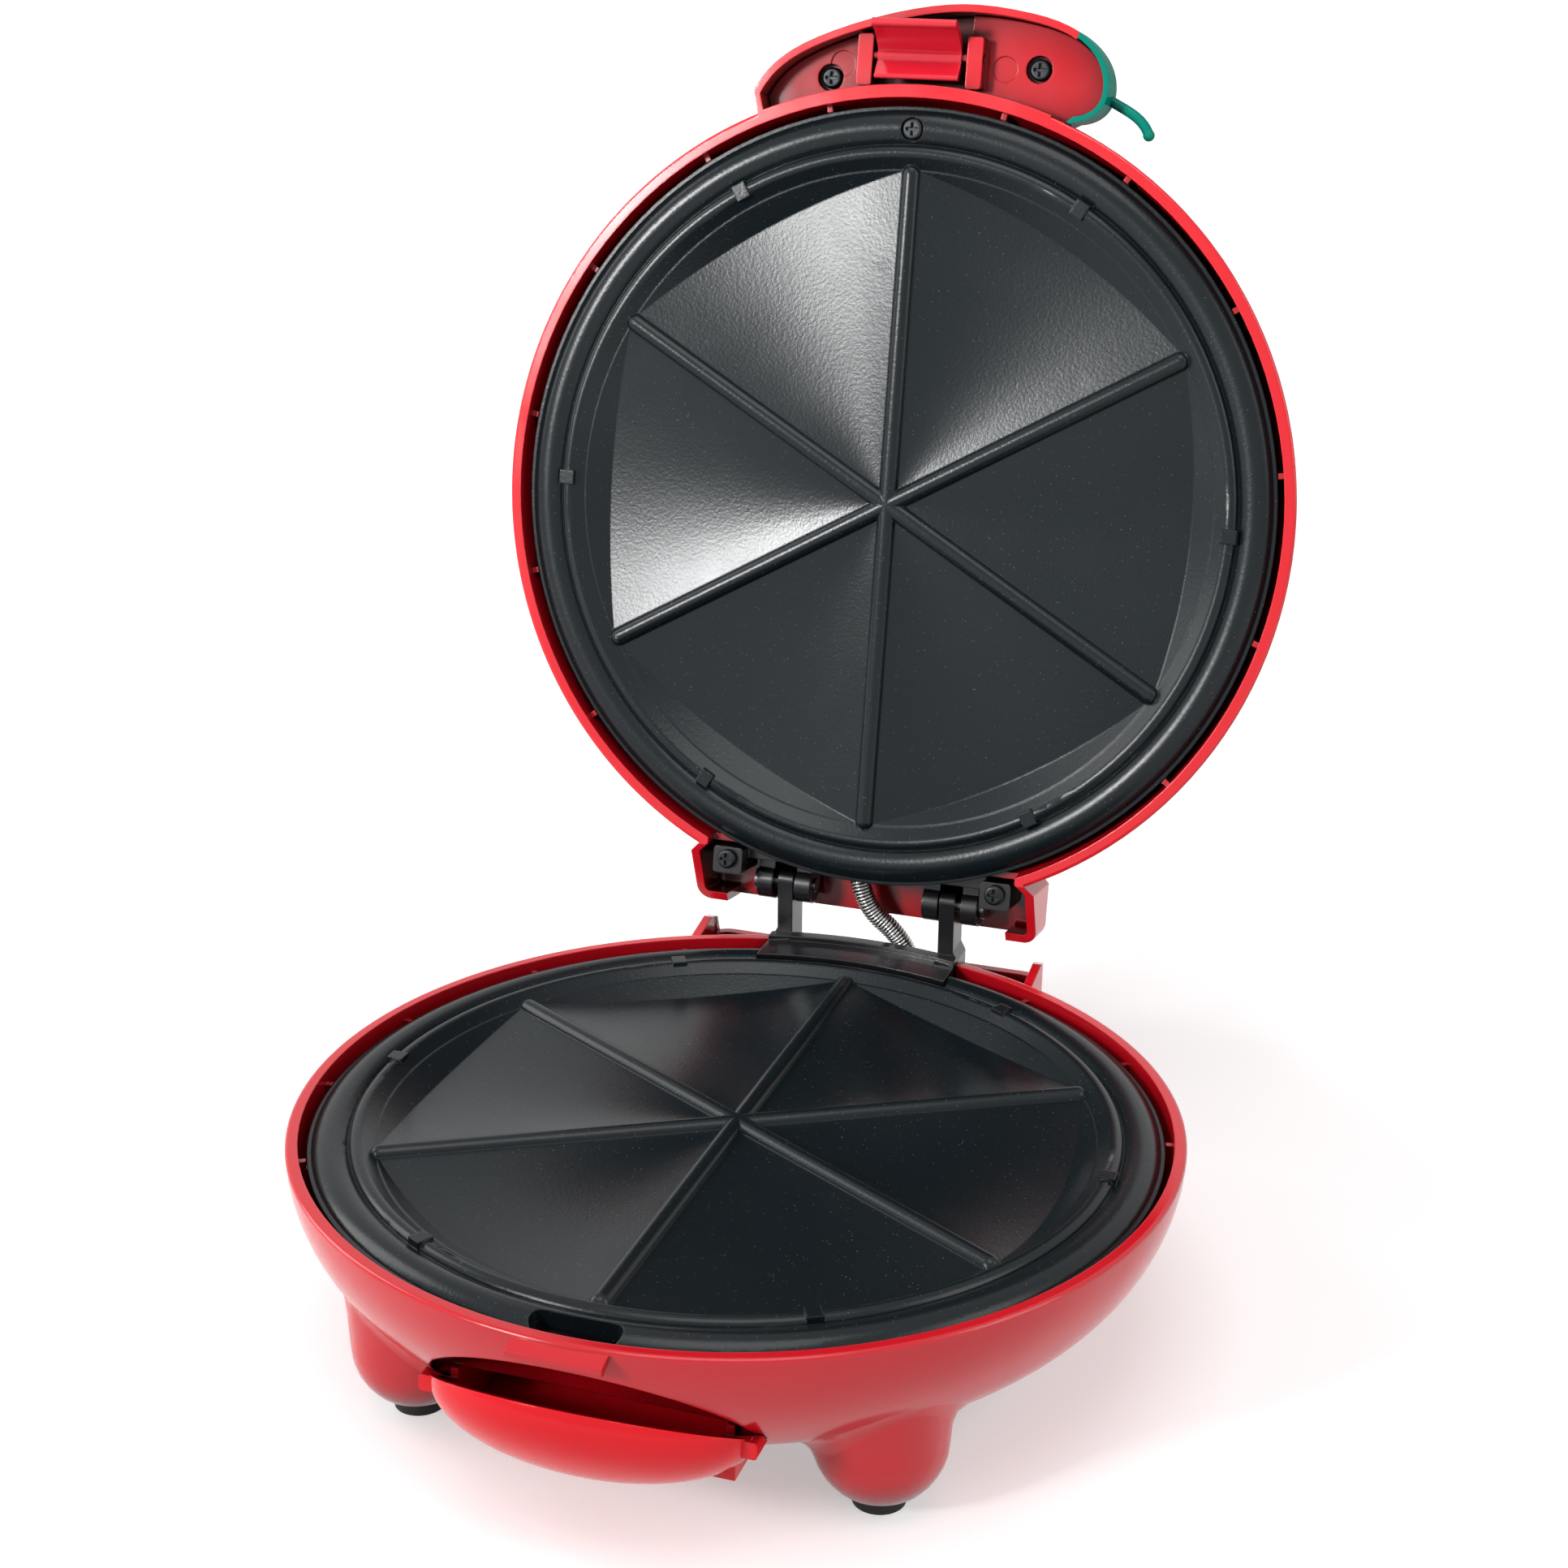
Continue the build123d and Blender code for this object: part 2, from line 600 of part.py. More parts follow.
def spout_hole():
    """The hole in the bay's ceiling that the plate's spout drops through."""
    wide = 2 * SPOUT_WALL + 2 * SLIDE_GAP
    return tall(Pos(0, SLOT_Y) * SlotOverall(SLOT_LENGTH + wide, SLOT_WIDTH + wide), BAY_AXIS_Z, -1)


def bowl_with_legs():
    """The outside of the base: a bowl on four blended legs."""
    bowl = dish(RIM_R, BOWL_FLOOR_R, BOWL_DEPTH)
    bowl = fillet(bowl.edges().group_by(Axis.Z)[-1], RIM_ROUND)
    shell = bowl + [Pos(x, y) * leg() for x, y in LEG_SPOTS]
    roots = shell.edges().filter_by(GeomType.BSPLINE)
    return fillet(roots, LEG_FILLET)


def base_housing():
    """Bowl, legs, tray bay, catch ledge and rear box as one moulding."""
    inner = dish(RIM_IN_R, BOWL_FLOOR_R, BOWL_DEPTH - WALL)
    shell = bowl_with_legs()
    box = rear_box(0) - rear_box(WALL) - dish(RIM_R - 1, BOWL_FLOOR_R, BOWL_DEPTH) - rear_box_trim()
    shell = shell + box
    half = BRACKET_HALF_W + SLIDE_GAP
    shell = shell - inner - [Pos(x, y) * leg(-WALL) for x, y in LEG_SPOTS]
    shell = shell - block(-half, half, BRACKET_IN_R - 5, RIM_R + 1, BRACKET_BOTTOM, -BRACKET_BOTTOM)
    shell = shell + (tray_bay(BAY_WALL) & inner) - tray_bay(0) - spout_hole()
    shell = shell + [bracket_post(x) for x in (-BRACKET_SCREW_X, BRACKET_SCREW_X)]
    pad_top = -RIM_HEIGHT + PAD_SHOW + PAD_SINK
    shell = shell - [rod(x, y, -2 * RIM_HEIGHT, pad_top, PAD_R + FIT_GAP) for x, y in LEG_SPOTS]
    shell = shell - deep(Pos(GLAND_X, GLAND_Z) * Circle(GLAND_R + FIT_GAP), REAR_BOX_BACK_Y - 2 * WALL, RIM_R * 1.2)
    shell = shell - deep(Pos(GLAND_X, GLAND_Z) * Circle(GLAND_BORE_R + 1), BRACKET_IN_R, REAR_BOX_BACK_Y - 2 * WALL)
    shell = shell - deep(Pos(CONDUIT_X, CONDUIT_Z) * Circle(BUSH_R + FIT_GAP), BRACKET_IN_R, REAR_BOX_BACK_Y - 2 * WALL)
    return shell + catch_ledge() + seat_ribs(LOWER_RIBS)


def rubber_feet():
    """Four rubber pads, pressed into the leg ends."""
    low = -RIM_HEIGHT
    return solids_of([rod(x, y, low, low + PAD_SHOW + PAD_SINK, PAD_R) for x, y in LEG_SPOTS])


def terminal_block():
    """The block on the bowl's floor where the mains joins the heaters."""
    floor = -BOWL_DEPTH + WALL
    body = block(-TERMINAL_L / 2, TERMINAL_L / 2, -TERMINAL_W / 2, TERMINAL_W / 2, floor, floor + TERMINAL_H)
    wells = [rod(TERMINAL_L * k, 0, floor + TERMINAL_H - 3, floor + TERMINAL_H + 1, 2) for k in (-0.33, 0, 0.33)]
    return Pos(TERMINAL_X, TERMINAL_Y) * (body - wells)


def cord_gland():
    """The gland in the rear wall that a mains cord would pass through."""
    at = Pos(GLAND_X, GLAND_Z)
    wall = REAR_BOX_BACK_Y
    body = deep(at * Circle(GLAND_R), wall - 2 * WALL, wall)
    flange = deep(at * Circle(GLAND_R + 1.6), wall, wall + 2)
    return body + flange - deep(at * Circle(GLAND_BORE_R), wall - 3 * WALL, wall + 3)


# %% Hinge


def ear():
    """An upright ear of the hinge bracket, on the +X side."""
    outline = Polyline((EAR_FOOT_Y, BRACKET_BOTTOM), (EAR_BACK_Y, BRACKET_BOTTOM), (EAR_BACK_Y, EAR_TOP),
                       (EAR_FRONT_Y, EAR_TOP), (EAR_FRONT_Y, BRACKET_CREST), (EAR_FOOT_Y, BRACKET_TOP), close=True)
    plate = across(make_face(outline), EAR_IN_X, EAR_OUT_X)
    corners = plate.edges().filter_by(Axis.X).group_by(Axis.Z)[-1]
    plate = fillet(corners, EAR_ROUND)
    foot = Polyline((EAR_OUT_X, BRACKET_BOTTOM), (BRACKET_HALF_W, BRACKET_BOTTOM), (BRACKET_HALF_W, BRACKET_TOP),
                    (EAR_OUT_X, EAR_FLARE), close=True)
    flare = deep(make_face(foot), EAR_FRONT_Y, EAR_BACK_Y)
    return plate + flare


def hinge_bracket():
    """A curved bar in the base's rim with two ears that carry the lid's hinge pins."""
    half = BRACKET_HALF_W
    bar = rod(0, 0, BRACKET_BOTTOM, BRACKET_TOP, BRACKET_OUT_R) - rod(0, 0, BRACKET_BOTTOM, BRACKET_TOP, BRACKET_IN_R)
    crest = rod(0, 0, BRACKET_TOP, BRACKET_CREST, BRACKET_OUT_R) - rod(0, 0, BRACKET_TOP, BRACKET_CREST, CREST_IN_R)
    bar = (bar + crest) & block(-half, half, 0, RIM_R, BRACKET_BOTTOM, BRACKET_CREST)
    bracket = bar + both_sides(ear())
    bore = cross_rod(HINGE_Y, HINGE_Z, -RIM_R, RIM_R, HINGE_PIN_R + FIT_GAP)
    holes = [rod(x, BRACKET_SCREW_Y, BRACKET_BOTTOM, BRACKET_BOTTOM + SCREW_BITE, SCREW_R + FIT_GAP)
             for x in (-BRACKET_SCREW_X, BRACKET_SCREW_X)]
    return bracket - bore - holes


def bracket_screws():
    """The two screws that hold the hinge bracket down, driven up from inside the bowl."""
    length = BRACKET_BOTTOM - POST_FOOT + SCREW_BITE - 1
    one = Rot(180, 0, 0) * screw(length)
    return solids_of([Pos(x, BRACKET_SCREW_Y, POST_FOOT) * one for x in (-BRACKET_SCREW_X, BRACKET_SCREW_X)])


def hinge_pins():
    """Two steel pins with flat heads, one through each ear and its pair of knuckles."""
    out = KNUCKLE_OUT_X + KNUCKLE_T
    pin = cross_rod(HINGE_Y, HINGE_Z, KNUCKLE_IN_X - 0.6, out + PIN_HEAD_T, HINGE_PIN_R)
    head = cross_rod(HINGE_Y, HINGE_Z, out + SLIDE_GAP, out + PIN_HEAD_T, HINGE_PIN_R + 1)
    return solids_of([pin + head, mirror(pin + head, Plane.YZ)])


def hinge_lug():
    """The lid's right hinge lug: a screwed-on block, a bridge and two knuckles either side of the ear."""
    body = block(LUG_X - LUG_W / 2, LUG_X + LUG_W / 2, LUG_IN_Y, LUG_OUT_Y, LUG_FRONT, LUG_BACK_Z)
    body = fillet(body.edges().filter_by(Axis.Z), 1)
    bridge = block(KNUCKLE_IN_X, LUG_X, LUG_IN_Y, BRIDGE_BACK_Y, BRIDGE_FRONT, LUG_BACK_Z)
    lug = body + bridge
    for x in (KNUCKLE_IN_X, KNUCKLE_OUT_X):
        arm = block(x, x + KNUCKLE_T, LUG_IN_Y, HINGE_Y, HINGE_Z - 0.6 * KNUCKLE_R, LUG_BACK_Z)
        lug = lug + arm + cross_rod(HINGE_Y, HINGE_Z, x, x + KNUCKLE_T, KNUCKLE_R)
    lug = lug - rod(LUG_X, LUG_Y, LUG_FRONT, LUG_BACK_Z, SCREW_R + FIT_GAP)
    return lug - cross_rod(HINGE_Y, HINGE_Z, 0, RIM_R, HINGE_PIN_R + PIN_GAP)


def hinge_lug_screws():
    """The screws that hold the lugs to the lid."""
    one = Rot(180, 0, 0) * screw(LUG_BACK_Z - LUG_FRONT + LUG_BITE - 1)
    return solids_of([Pos(x, LUG_Y, LUG_FRONT) * one for x in (-LUG_X, LUG_X)])


# %% Lid, drawn closed


def hinge_box(shrink):
    """The box at the back of the lid, over the hinge."""
    neck, half, back = BOX_NECK_X - shrink, BOX_HALF_W - shrink, BOX_BACK_Y - shrink
    outline = Polyline((-neck, RIM_R * 0.6), (-neck, BOX_NECK_Y), (-half, BOX_NECK_Y + 3), (-half, back), (half, back),
                       (half, BOX_NECK_Y + 3), (neck, BOX_NECK_Y), (neck, RIM_R * 0.6), close=True)
    box = tall(make_face(outline), RIM_GAP, BOX_ROOF - shrink)
    corners = box.edges().filter_by(Axis.Z).group_by(Axis.Y)[-1]
    box = fillet(corners, BOX_ROOF_ROUND - shrink)
    roof = box.edges().group_by(Axis.Z)[-1].filter_by(lambda e: e.center().Y > RIM_R * 0.6 + 1)
    return fillet(roof, BOX_ROOF_ROUND - shrink)


def hinge_box_trim():
    """Cuts the hinge box's lower edge to rise towards the back."""
    edge = Polyline((BOX_NECK_Y + 0.5, 0), (BOX_NECK_Y + 0.5, RIM_GAP), (BOX_BACK_Y + 1, BOX_EDGE_RISE),
                    (BOX_BACK_Y + 1, 0), close=True)
    return across(make_face(edge), -RIM_R, RIM_R)


def handle_outline(inset=0.0):
    """Plan of the handle, a pepper with its blunt end to the right, or the same plan drawn inside it."""
    edge = Spline((-46.5, -112), (-42, -118.5), (-25, -128.5), (-5, -134.5), (13, -136.8), (30, -135.2),
                  (CAP_FRONT_X, CAP_FRONT_Y), (53, -121), (53.5, -113.5), (45, -107))
    if inset:
        steps = [edge % (i / 12) for i in range(13)]
        inner = [edge @ (i / 12) + Vector(-t.Y, t.X) * inset for i, t in enumerate(steps)]
        edge = Spline(*inner)
    first, last = edge @ 0, edge @ 1
    root = Polyline(last, (last.X - 6, -104), (first.X + 2, -104), first)
    return face_of(edge, root)


def handle_solid():
    """The whole handle, cap included, with its top edge rounded."""
    body = tall(handle_outline(), RIM_GAP, HANDLE_TOP)
    return fillet(body.edges().group_by(Axis.Z)[-1], HANDLE_ROUND)


def handle_space(top, inset=HANDLE_WALL):
    """The space inside the handle's walls, outside the dome."""
    inside = tall(handle_outline(inset), 0, top)
    return inside - dome(RIM_R + SLIDE_GAP, DOME_TOP_R, DOME_HEIGHT)


def cap_side():
    """Everything to the right of the joint between the handle and its cap."""
    lean = (CAP_FRONT_X - CAP_BACK_X) / CAP_LINE_Y
    x_at_centre = CAP_FRONT_X + lean * CAP_FRONT_Y
    x_in_front = CAP_FRONT_X + lean * (CAP_FRONT_Y + 2 * RIM_R)
    corners = [(x_in_front, -2 * RIM_R), (2 * RIM_R, -2 * RIM_R), (2 * RIM_R, 0), (x_at_centre, 0)]
    face = make_face(Polyline(*corners, close=True))
    return tall(face, -RIM_R, RIM_R)


def cover_screw_spots():
    """Where the two screws of the handle cover sit."""
    return [(-26.5, -116.8), (32.8, -121)]


def lid_housing():
    """Dome, hinge box and hollow handle as one moulding."""
    inner = dome(RIM_IN_R, DOME_TOP_R, DOME_HEIGHT - WALL)
    skin = dome(RIM_R, DOME_TOP_R, DOME_HEIGHT)
    skin = fillet(skin.edges().group_by(Axis.Z)[0], RIM_ROUND)
    box = hinge_box(0) - hinge_box_trim()
    outer = skin + box + (handle_solid() - cap_side())
    middle = BOX_OPEN_HALF_W
    rear_gap = block(-middle, middle, BOX_BACK_Y - 2 * WALL, BOX_BACK_Y + 1, 0, BOX_ROOF - WALL)
    space = hinge_box(WALL) & block(-RIM_R, RIM_R, PARTITION_Y + PARTITION_T, BOX_BACK_Y, 0, BOX_ROOF)
    plate_low = RIM_GAP + FLANGE_UNDER + SLIDE_GAP
    half, back = BOX_NECK_X - 1, PARTITION_Y + PARTITION_T
    partition = block(-half, half, PARTITION_Y, back, plate_low, BOX_ROOF - 1)
    below = block(-BOX_NECK_X + WALL, BOX_NECK_X - WALL, PARTITION_Y, RIM_R, 0, plate_low)
    shell = outer - inner + partition - space - rear_gap - below
    shell = shell - (handle_space(HANDLE_TOP - HANDLE_WALL) - cap_side())
    shell = shell + [rod(x, LUG_Y, LUG_BACK_Z, BOX_ROOF - 1, POST_R) for x in (-LUG_X, LUG_X)]
    shell = shell - [rod(x, LUG_Y, LUG_BACK_Z, LUG_BACK_Z + LUG_BITE, SCREW_R + FIT_GAP) for x in (-LUG_X, LUG_X)]
    roof = HANDLE_TOP - HANDLE_WALL
    shell = shell + [rod(x, y, COVER_SEAT, roof + 1, POST_R) for x, y in cover_screw_spots()]
    cover_bite = COVER_SEAT + COVER_BITE
    shell = shell - [rod(x, y, COVER_SEAT, cover_bite, SCREW_R + FIT_GAP) for x, y in cover_screw_spots()]
    lamps = [rod(x, LAMP_Y, DOME_HEIGHT / 2, DOME_HEIGHT + 2, LAMP_STEM_R + FIT_GAP) for x in (-LAMP_X, LAMP_X)]
    bush = deep(Pos(LID_BUSH_X, LID_BUSH_Z) * Circle(BUSH_R + FIT_GAP), PARTITION_Y - 1, PARTITION_Y + PARTITION_T + 1)
    screw_post = rod(0, PLATE_SCREW_Y, RIM_GAP + FLANGE_UNDER, DOME_HEIGHT, POST_R) & inner
    shell = shell + screw_post - lamps - bush
    shell = shell - rod(0, PLATE_SCREW_Y, RIM_GAP, RIM_GAP + FLANGE_UNDER + PLATE_BITE, SCREW_R + FIT_GAP)
    return shell + [face_down(rib) for rib in seat_ribs(UPPER_RIBS)]


def stem_cap():
    """The cap on the handle's blunt end, with its thin curved stem."""
    cap = (handle_solid() - handle_space(HANDLE_TOP - HANDLE_WALL, CAP_WALL)) & cap_side()
    cap = cap - dome(RIM_R + SLIDE_GAP, DOME_TOP_R, DOME_HEIGHT + SLIDE_GAP)
    tip = (64.2, -105, STEM_Z)
    path = Spline((52, -114.2, STEM_Z), (57, -111.6, STEM_Z), (61.4, -108.8, STEM_Z), tip)
    stem = sweep(Plane(path @ 0, z_dir=path % 0) * Circle(STEM_R), path)
    return cap + stem + Pos(*tip) * Sphere(STEM_TIP_R)


def handle_cover():
    """The plate that closes the handle underneath and carries the latch between two uprights."""
    top = HANDLE_TOP - HANDLE_WALL
    within = handle_space(top, HANDLE_WALL + SLIDE_GAP)
    plate = within & block(-RIM_R, RIM_R, -2 * RIM_R, 0, COVER_FACE, COVER_FACE + COVER_T)
    bay = within & block(-BAY_HALF_W - COVER_T, BAY_HALF_W + COVER_T, -2 * RIM_R, 0, COVER_FACE, top)
    bay_cut = block(-BAY_HALF_W, BAY_HALF_W, -2 * RIM_R, 0, 0, BAY_FLOOR)
    upright = block(BAY_HALF_W, BAY_HALF_W + UPRIGHT_W, UPRIGHT_FRONT_Y, UPRIGHT_BACK_Y, UPRIGHT_FACE, COVER_FACE + 1)
    upright = fillet(upright.edges().filter_by(Axis.Z), 0.8)
    cups = [rod(x, y, COVER_FACE, COVER_SEAT, SCREW_HEAD_R + 2) & within for x, y in cover_screw_spots()]
    well_top = COVER_SEAT - COVER_T + 0.5
    wells = [rod(x, y, COVER_FACE - 1, well_top, SCREW_HEAD_R + 0.8) for x, y in cover_screw_spots()]
    holes = [rod(x, y, COVER_FACE, COVER_SEAT + 1, SCREW_R + FIT_GAP) for x, y in cover_screw_spots()]
    marks = [rod(x, MARK_Y, COVER_FACE - 1, COVER_FACE + 0.3, MARK_R) for x in (-MARK_X, MARK_X)]
    cover = plate + bay + both_sides(upright) + cups - bay_cut - wells - holes - marks
    reach = BAY_HALF_W + UPRIGHT_W
    return cover - cross_rod(LATCH_Y, LATCH_Z, -reach, reach, LATCH_STUB_R + PIN_GAP)


def handle_screws():
    """The two screws that hold the handle cover."""
    seat = COVER_SEAT - COVER_T + 0.5
    one = Rot(180, 0, 0) * screw(COVER_SEAT + COVER_BITE - seat - 0.5)
    return solids_of([Pos(x, y, seat) * one for x, y in cover_screw_spots()])


def plate_screw():
    """The screw that holds the front of the lid's cooking plate."""
    seat = RIM_GAP + BEAD_DROP + SCREW_HEAD_H
    return Pos(0, PLATE_SCREW_Y, seat) * Rot(180, 0, 0) * screw(FLANGE_UNDER + PLATE_BITE - SCREW_HEAD_H - 1)


def thermal_fuse():
    """A one-shot thermal fuse clipped under the plate."""
    r = FUSE_R
    body = cross_rod(0, -PLATE_UNDER - r, -FUSE_L / 2, FUSE_L / 2, r)
    strap = block(-3, 3, -3 * r, 3 * r, -PLATE_UNDER - 0.8, -PLATE_UNDER)
    saddle = block(-3, 3, -r - 0.6, r + 0.6, -PLATE_UNDER - r, -PLATE_UNDER)
    return body + strap + saddle


def indicator(x):
    """A lamp lens seen on top of the lid."""
    top = RIM_GAP + DOME_HEIGHT
    lens = rod(x, LAMP_Y, top, top + LENS_SHOW, LENS_R)
    lens = fillet(lens.edges().group_by(Axis.Z)[-1], 0.6 * LENS_SHOW)
    return lens + rod(x, LAMP_Y, top - WALL - 3, top, LAMP_STEM_R)


def lamp_holders():
    """Two cups that clamp the lamps from inside the lid."""
    top = RIM_GAP + DOME_HEIGHT - WALL
    cup = rod(LAMP_X, LAMP_Y, top - 7, top, LAMP_STEM_R + 1.6)
    cup = cup - rod(LAMP_X, LAMP_Y, top - 5.5, top, LAMP_STEM_R + FIT_GAP)
    return solids_of([cup, mirror(cup, Plane.YZ)])


# %% Latch, tray and conduit


def latch():
    """A rocker that turns on two stubs: a bowed plate with a rolled hook, and a thumb tab."""
    angle = radians(LATCH_REST)
    hook = Vector(LATCH_REACH * cos(angle), LATCH_REACH * sin(angle))
    bow = Vector(sin(angle), -cos(angle)) * HOOK_BOW
    tab = Vector(INNER_REACH * cos(radians(INNER_REST)), INNER_REACH * sin(radians(INNER_REST)))
    plate = trace(ThreePointArc((0, 0), hook / 2 + bow, hook), HOOK_T)
    inner = trace(Line((0, 0), tab), INNER_T)
    profile = plate + inner + Circle(LATCH_HUB_R) + Pos(hook) * Circle(HOOK_R) + Pos(tab) * Circle(INNER_T / 2)
    body = across(profile, -LATCH_HALF_W, LATCH_HALF_W)
    stubs = cross_rod(0, 0, -STUB_REACH, STUB_REACH, LATCH_STUB_R)
    return Pos(0, LATCH_Y, LATCH_Z) * (body + stubs)


def tray_half(shrink, back_y, floor_z):
    """Half an ellipsoid, tipped up to the front, with a flat floor and a flat back."""
    half = scale(Sphere(1), by=(TRAY_HALF_W - shrink, TRAY_REACH - shrink, TRAY_DEPTH - shrink))
    half = half & block(-RIM_R, RIM_R, -RIM_R, RIM_R, -RIM_R, 0)
    half = Pos(0, TRAY_AXIS_Y, BAY_AXIS_Z) * Rot(-TRAY_TILT, 0, 0) * half
    return half & block(-RIM_R, RIM_R, -2 * RIM_R, back_y, floor_z, 0)


def drip_tray():
    """The sliding tray: half an ellipsoid in front, a drawer behind and two square end tabs."""
    back = BAY_BACK_Y - SLIDE_GAP
    outer = tray_half(0, back, TRAY_FLOOR_Z)
    inner = tray_half(TRAY_WALL, back - TRAY_WALL, TRAY_FLOOR_Z + TRAY_WALL)
    half = DRAWER_HALF_W
    drawer = block(-half, half, back - 1, DRAWER_BACK_Y, TRAY_FLOOR_Z, DRAWER_TOP_Z)
    space = block(-half + TRAY_WALL, half - TRAY_WALL, back - 2 * TRAY_WALL, DRAWER_BACK_Y - TRAY_WALL,
                  TRAY_FLOOR_Z + TRAY_WALL, 0)
    front, back = TRAY_AXIS_Y - TAB_W, TRAY_AXIS_Y + TAB_W
    tab = block(TRAY_HALF_W - TAB_IN, TAB_END_X, front, back, TAB_LOW_Z, TAB_LOW_Z + TAB_H)
    tab = fillet(tab.edges().filter_by(Axis.Y), 1)
    tab = tab - dish(RIM_R + SLIDE_GAP, BOWL_FLOOR_R, BOWL_DEPTH + SLIDE_GAP)
    return outer + both_sides(tab) - inner + (drawer - inner) - space


def lid_point(y, z):
    """Where a point of the closed lid is once the lid stands open."""
    turn = radians(OPEN_ANGLE)
    dy, dz = y - HINGE_Y, z - HINGE_Z
    return HINGE_Y + dy * cos(turn) + dz * sin(turn), HINGE_Z - dy * sin(turn) + dz * cos(turn)


def bent_path(points):
    """Straight runs joined by tangent arcs."""
    points = [Vector(*p) for p in points]
    runs = [(b - a) for a, b in zip(points, points[1:])]
    edges = []
    start = points[0]
    for corner, before, after in zip(points[1:], runs, runs[1:]):
        turn = radians(before.get_angle(after))
        tangent = 0.45 * min(before.length, after.length)
        rise = tangent / tan(turn / 2) * (1 / cos(turn / 2) - 1)
        inward = (after.normalized() - before.normalized()).normalized()
        first, last = corner - before.normalized() * tangent, corner + after.normalized() * tangent
        edges.append(Line(start, first))
        edges.append(ThreePointArc(first, corner + inward * rise, last))
        start = last
    edges.append(Line(start, points[-1]))
    return Wire(edges)


def spring_conduit():
    """The spring tube that carries the lid's cable down to the base."""
    top_y, top_z = lid_point(LID_BUSH_BACK_Y - CONDUIT_HOLD, LID_BUSH_Z)
    bend_y, bend_z = lid_point(LID_BUSH_BACK_Y + CONDUIT_DROP, LID_BUSH_Z)
    path = bent_path([(LID_BUSH_X, top_y, top_z), (LID_BUSH_X, bend_y, bend_z), (CONDUIT_X - 1, CONDUIT_BACK_Y + 0.7, 0),
                      (CONDUIT_X, CONDUIT_BACK_Y, CONDUIT_Z), (CONDUIT_X, CONDUIT_END_Y, CONDUIT_Z)])
    end = Plane(path @ 0, z_dir=path % 0)
    return sweep(end * (Circle(CONDUIT_R) - Circle(CONDUIT_BORE_R)), path)


def bush(y0, y1, flange_y0, flange_y1):
    """A round bush along Y with a flange."""
    body = deep(Circle(BUSH_R), y0, y1) + deep(Circle(BUSH_R + BUSH_FLANGE), flange_y0, flange_y1)
    return body - deep(Circle(CONDUIT_R + FIT_GAP), y0 - 1, y1 + 1)


def conduit_base_bush():
    """The bush in the bowl's rear wall."""
    wall_y = CONDUIT_WALL_Y
    inner_y = wall_y - BUSH_LENGTH
    return Pos(CONDUIT_X, 0, CONDUIT_Z) * bush(inner_y, wall_y, inner_y, inner_y + 1.5)


def conduit_lid_bush():
    """The bush in the lid's partition."""
    inner_y = PARTITION_Y - 1.5
    return Pos(LID_BUSH_X, 0, LID_BUSH_Z) * bush(inner_y, LID_BUSH_BACK_Y, inner_y, PARTITION_Y)


# %% Export: base pieces as drawn, lid pieces swung open, everything set down on the table


def placed(piece):
    """Set a base piece down with its feet on the table."""
    return Pos(0, -DEPTH_MIDDLE, RIM_HEIGHT) * piece


def swung(piece):
    """Swing a lid piece open about the hinge and set it down with the base."""
    return placed(Pos(0, HINGE_Y, HINGE_Z) * Rot(-OPEN_ANGLE, 0, 0) * Pos(0, -HINGE_Y, -HINGE_Z) * piece)


blank = plate_blank()
right_lug = hinge_lug()

base_pieces = {
    "base_housing": base_housing(),
    "rubber_feet": rubber_feet(),
    "lower_plate": lower_plate(blank),
    "lower_heating_element": heating_element(),
    "lower_heat_shield": heat_shield(),
    "lower_shield_screws": shield_screws(),
    "lower_thermostat": thermostat(),
    "terminal_block": terminal_block(),
    "cord_gland": cord_gland(),
    "hinge_bracket": hinge_bracket(),
    "bracket_screws": bracket_screws(),
    "hinge_pins": hinge_pins(),
    "conduit_base_bush": conduit_base_bush(),
    "spring_conduit": spring_conduit(),
    "drip_tray": drip_tray(),
}
lid_pieces = {
    "lid_housing": lid_housing(),
    "upper_plate": upper_plate(blank),
    "upper_plate_screw": plate_screw(),
    "upper_heating_element": face_down(heating_element()),
    "upper_heat_shield": face_down(heat_shield()),
    "upper_shield_screws": face_down(shield_screws()),
    "upper_thermal_fuse": face_down(thermal_fuse()),
    "right_hinge_lug": right_lug,
    "left_hinge_lug": mirror(right_lug, Plane.YZ),
    "hinge_lug_screws": hinge_lug_screws(),
    "handle_cover": handle_cover(),
    "handle_screws": handle_screws(),
    "stem_cap": stem_cap(),
    "latch": latch(),
    "conduit_lid_bush": conduit_lid_bush(),
    "power_light": indicator(-LAMP_X),
    "ready_light": indicator(LAMP_X),
    "lamp_holders": lamp_holders(),
}

for name, piece in base_pieces.items():
    export_step(placed(piece), f"parts/{name}.step")
for name, piece in lid_pieces.items():
    export_step(swung(piece), f"parts/{name}.step")
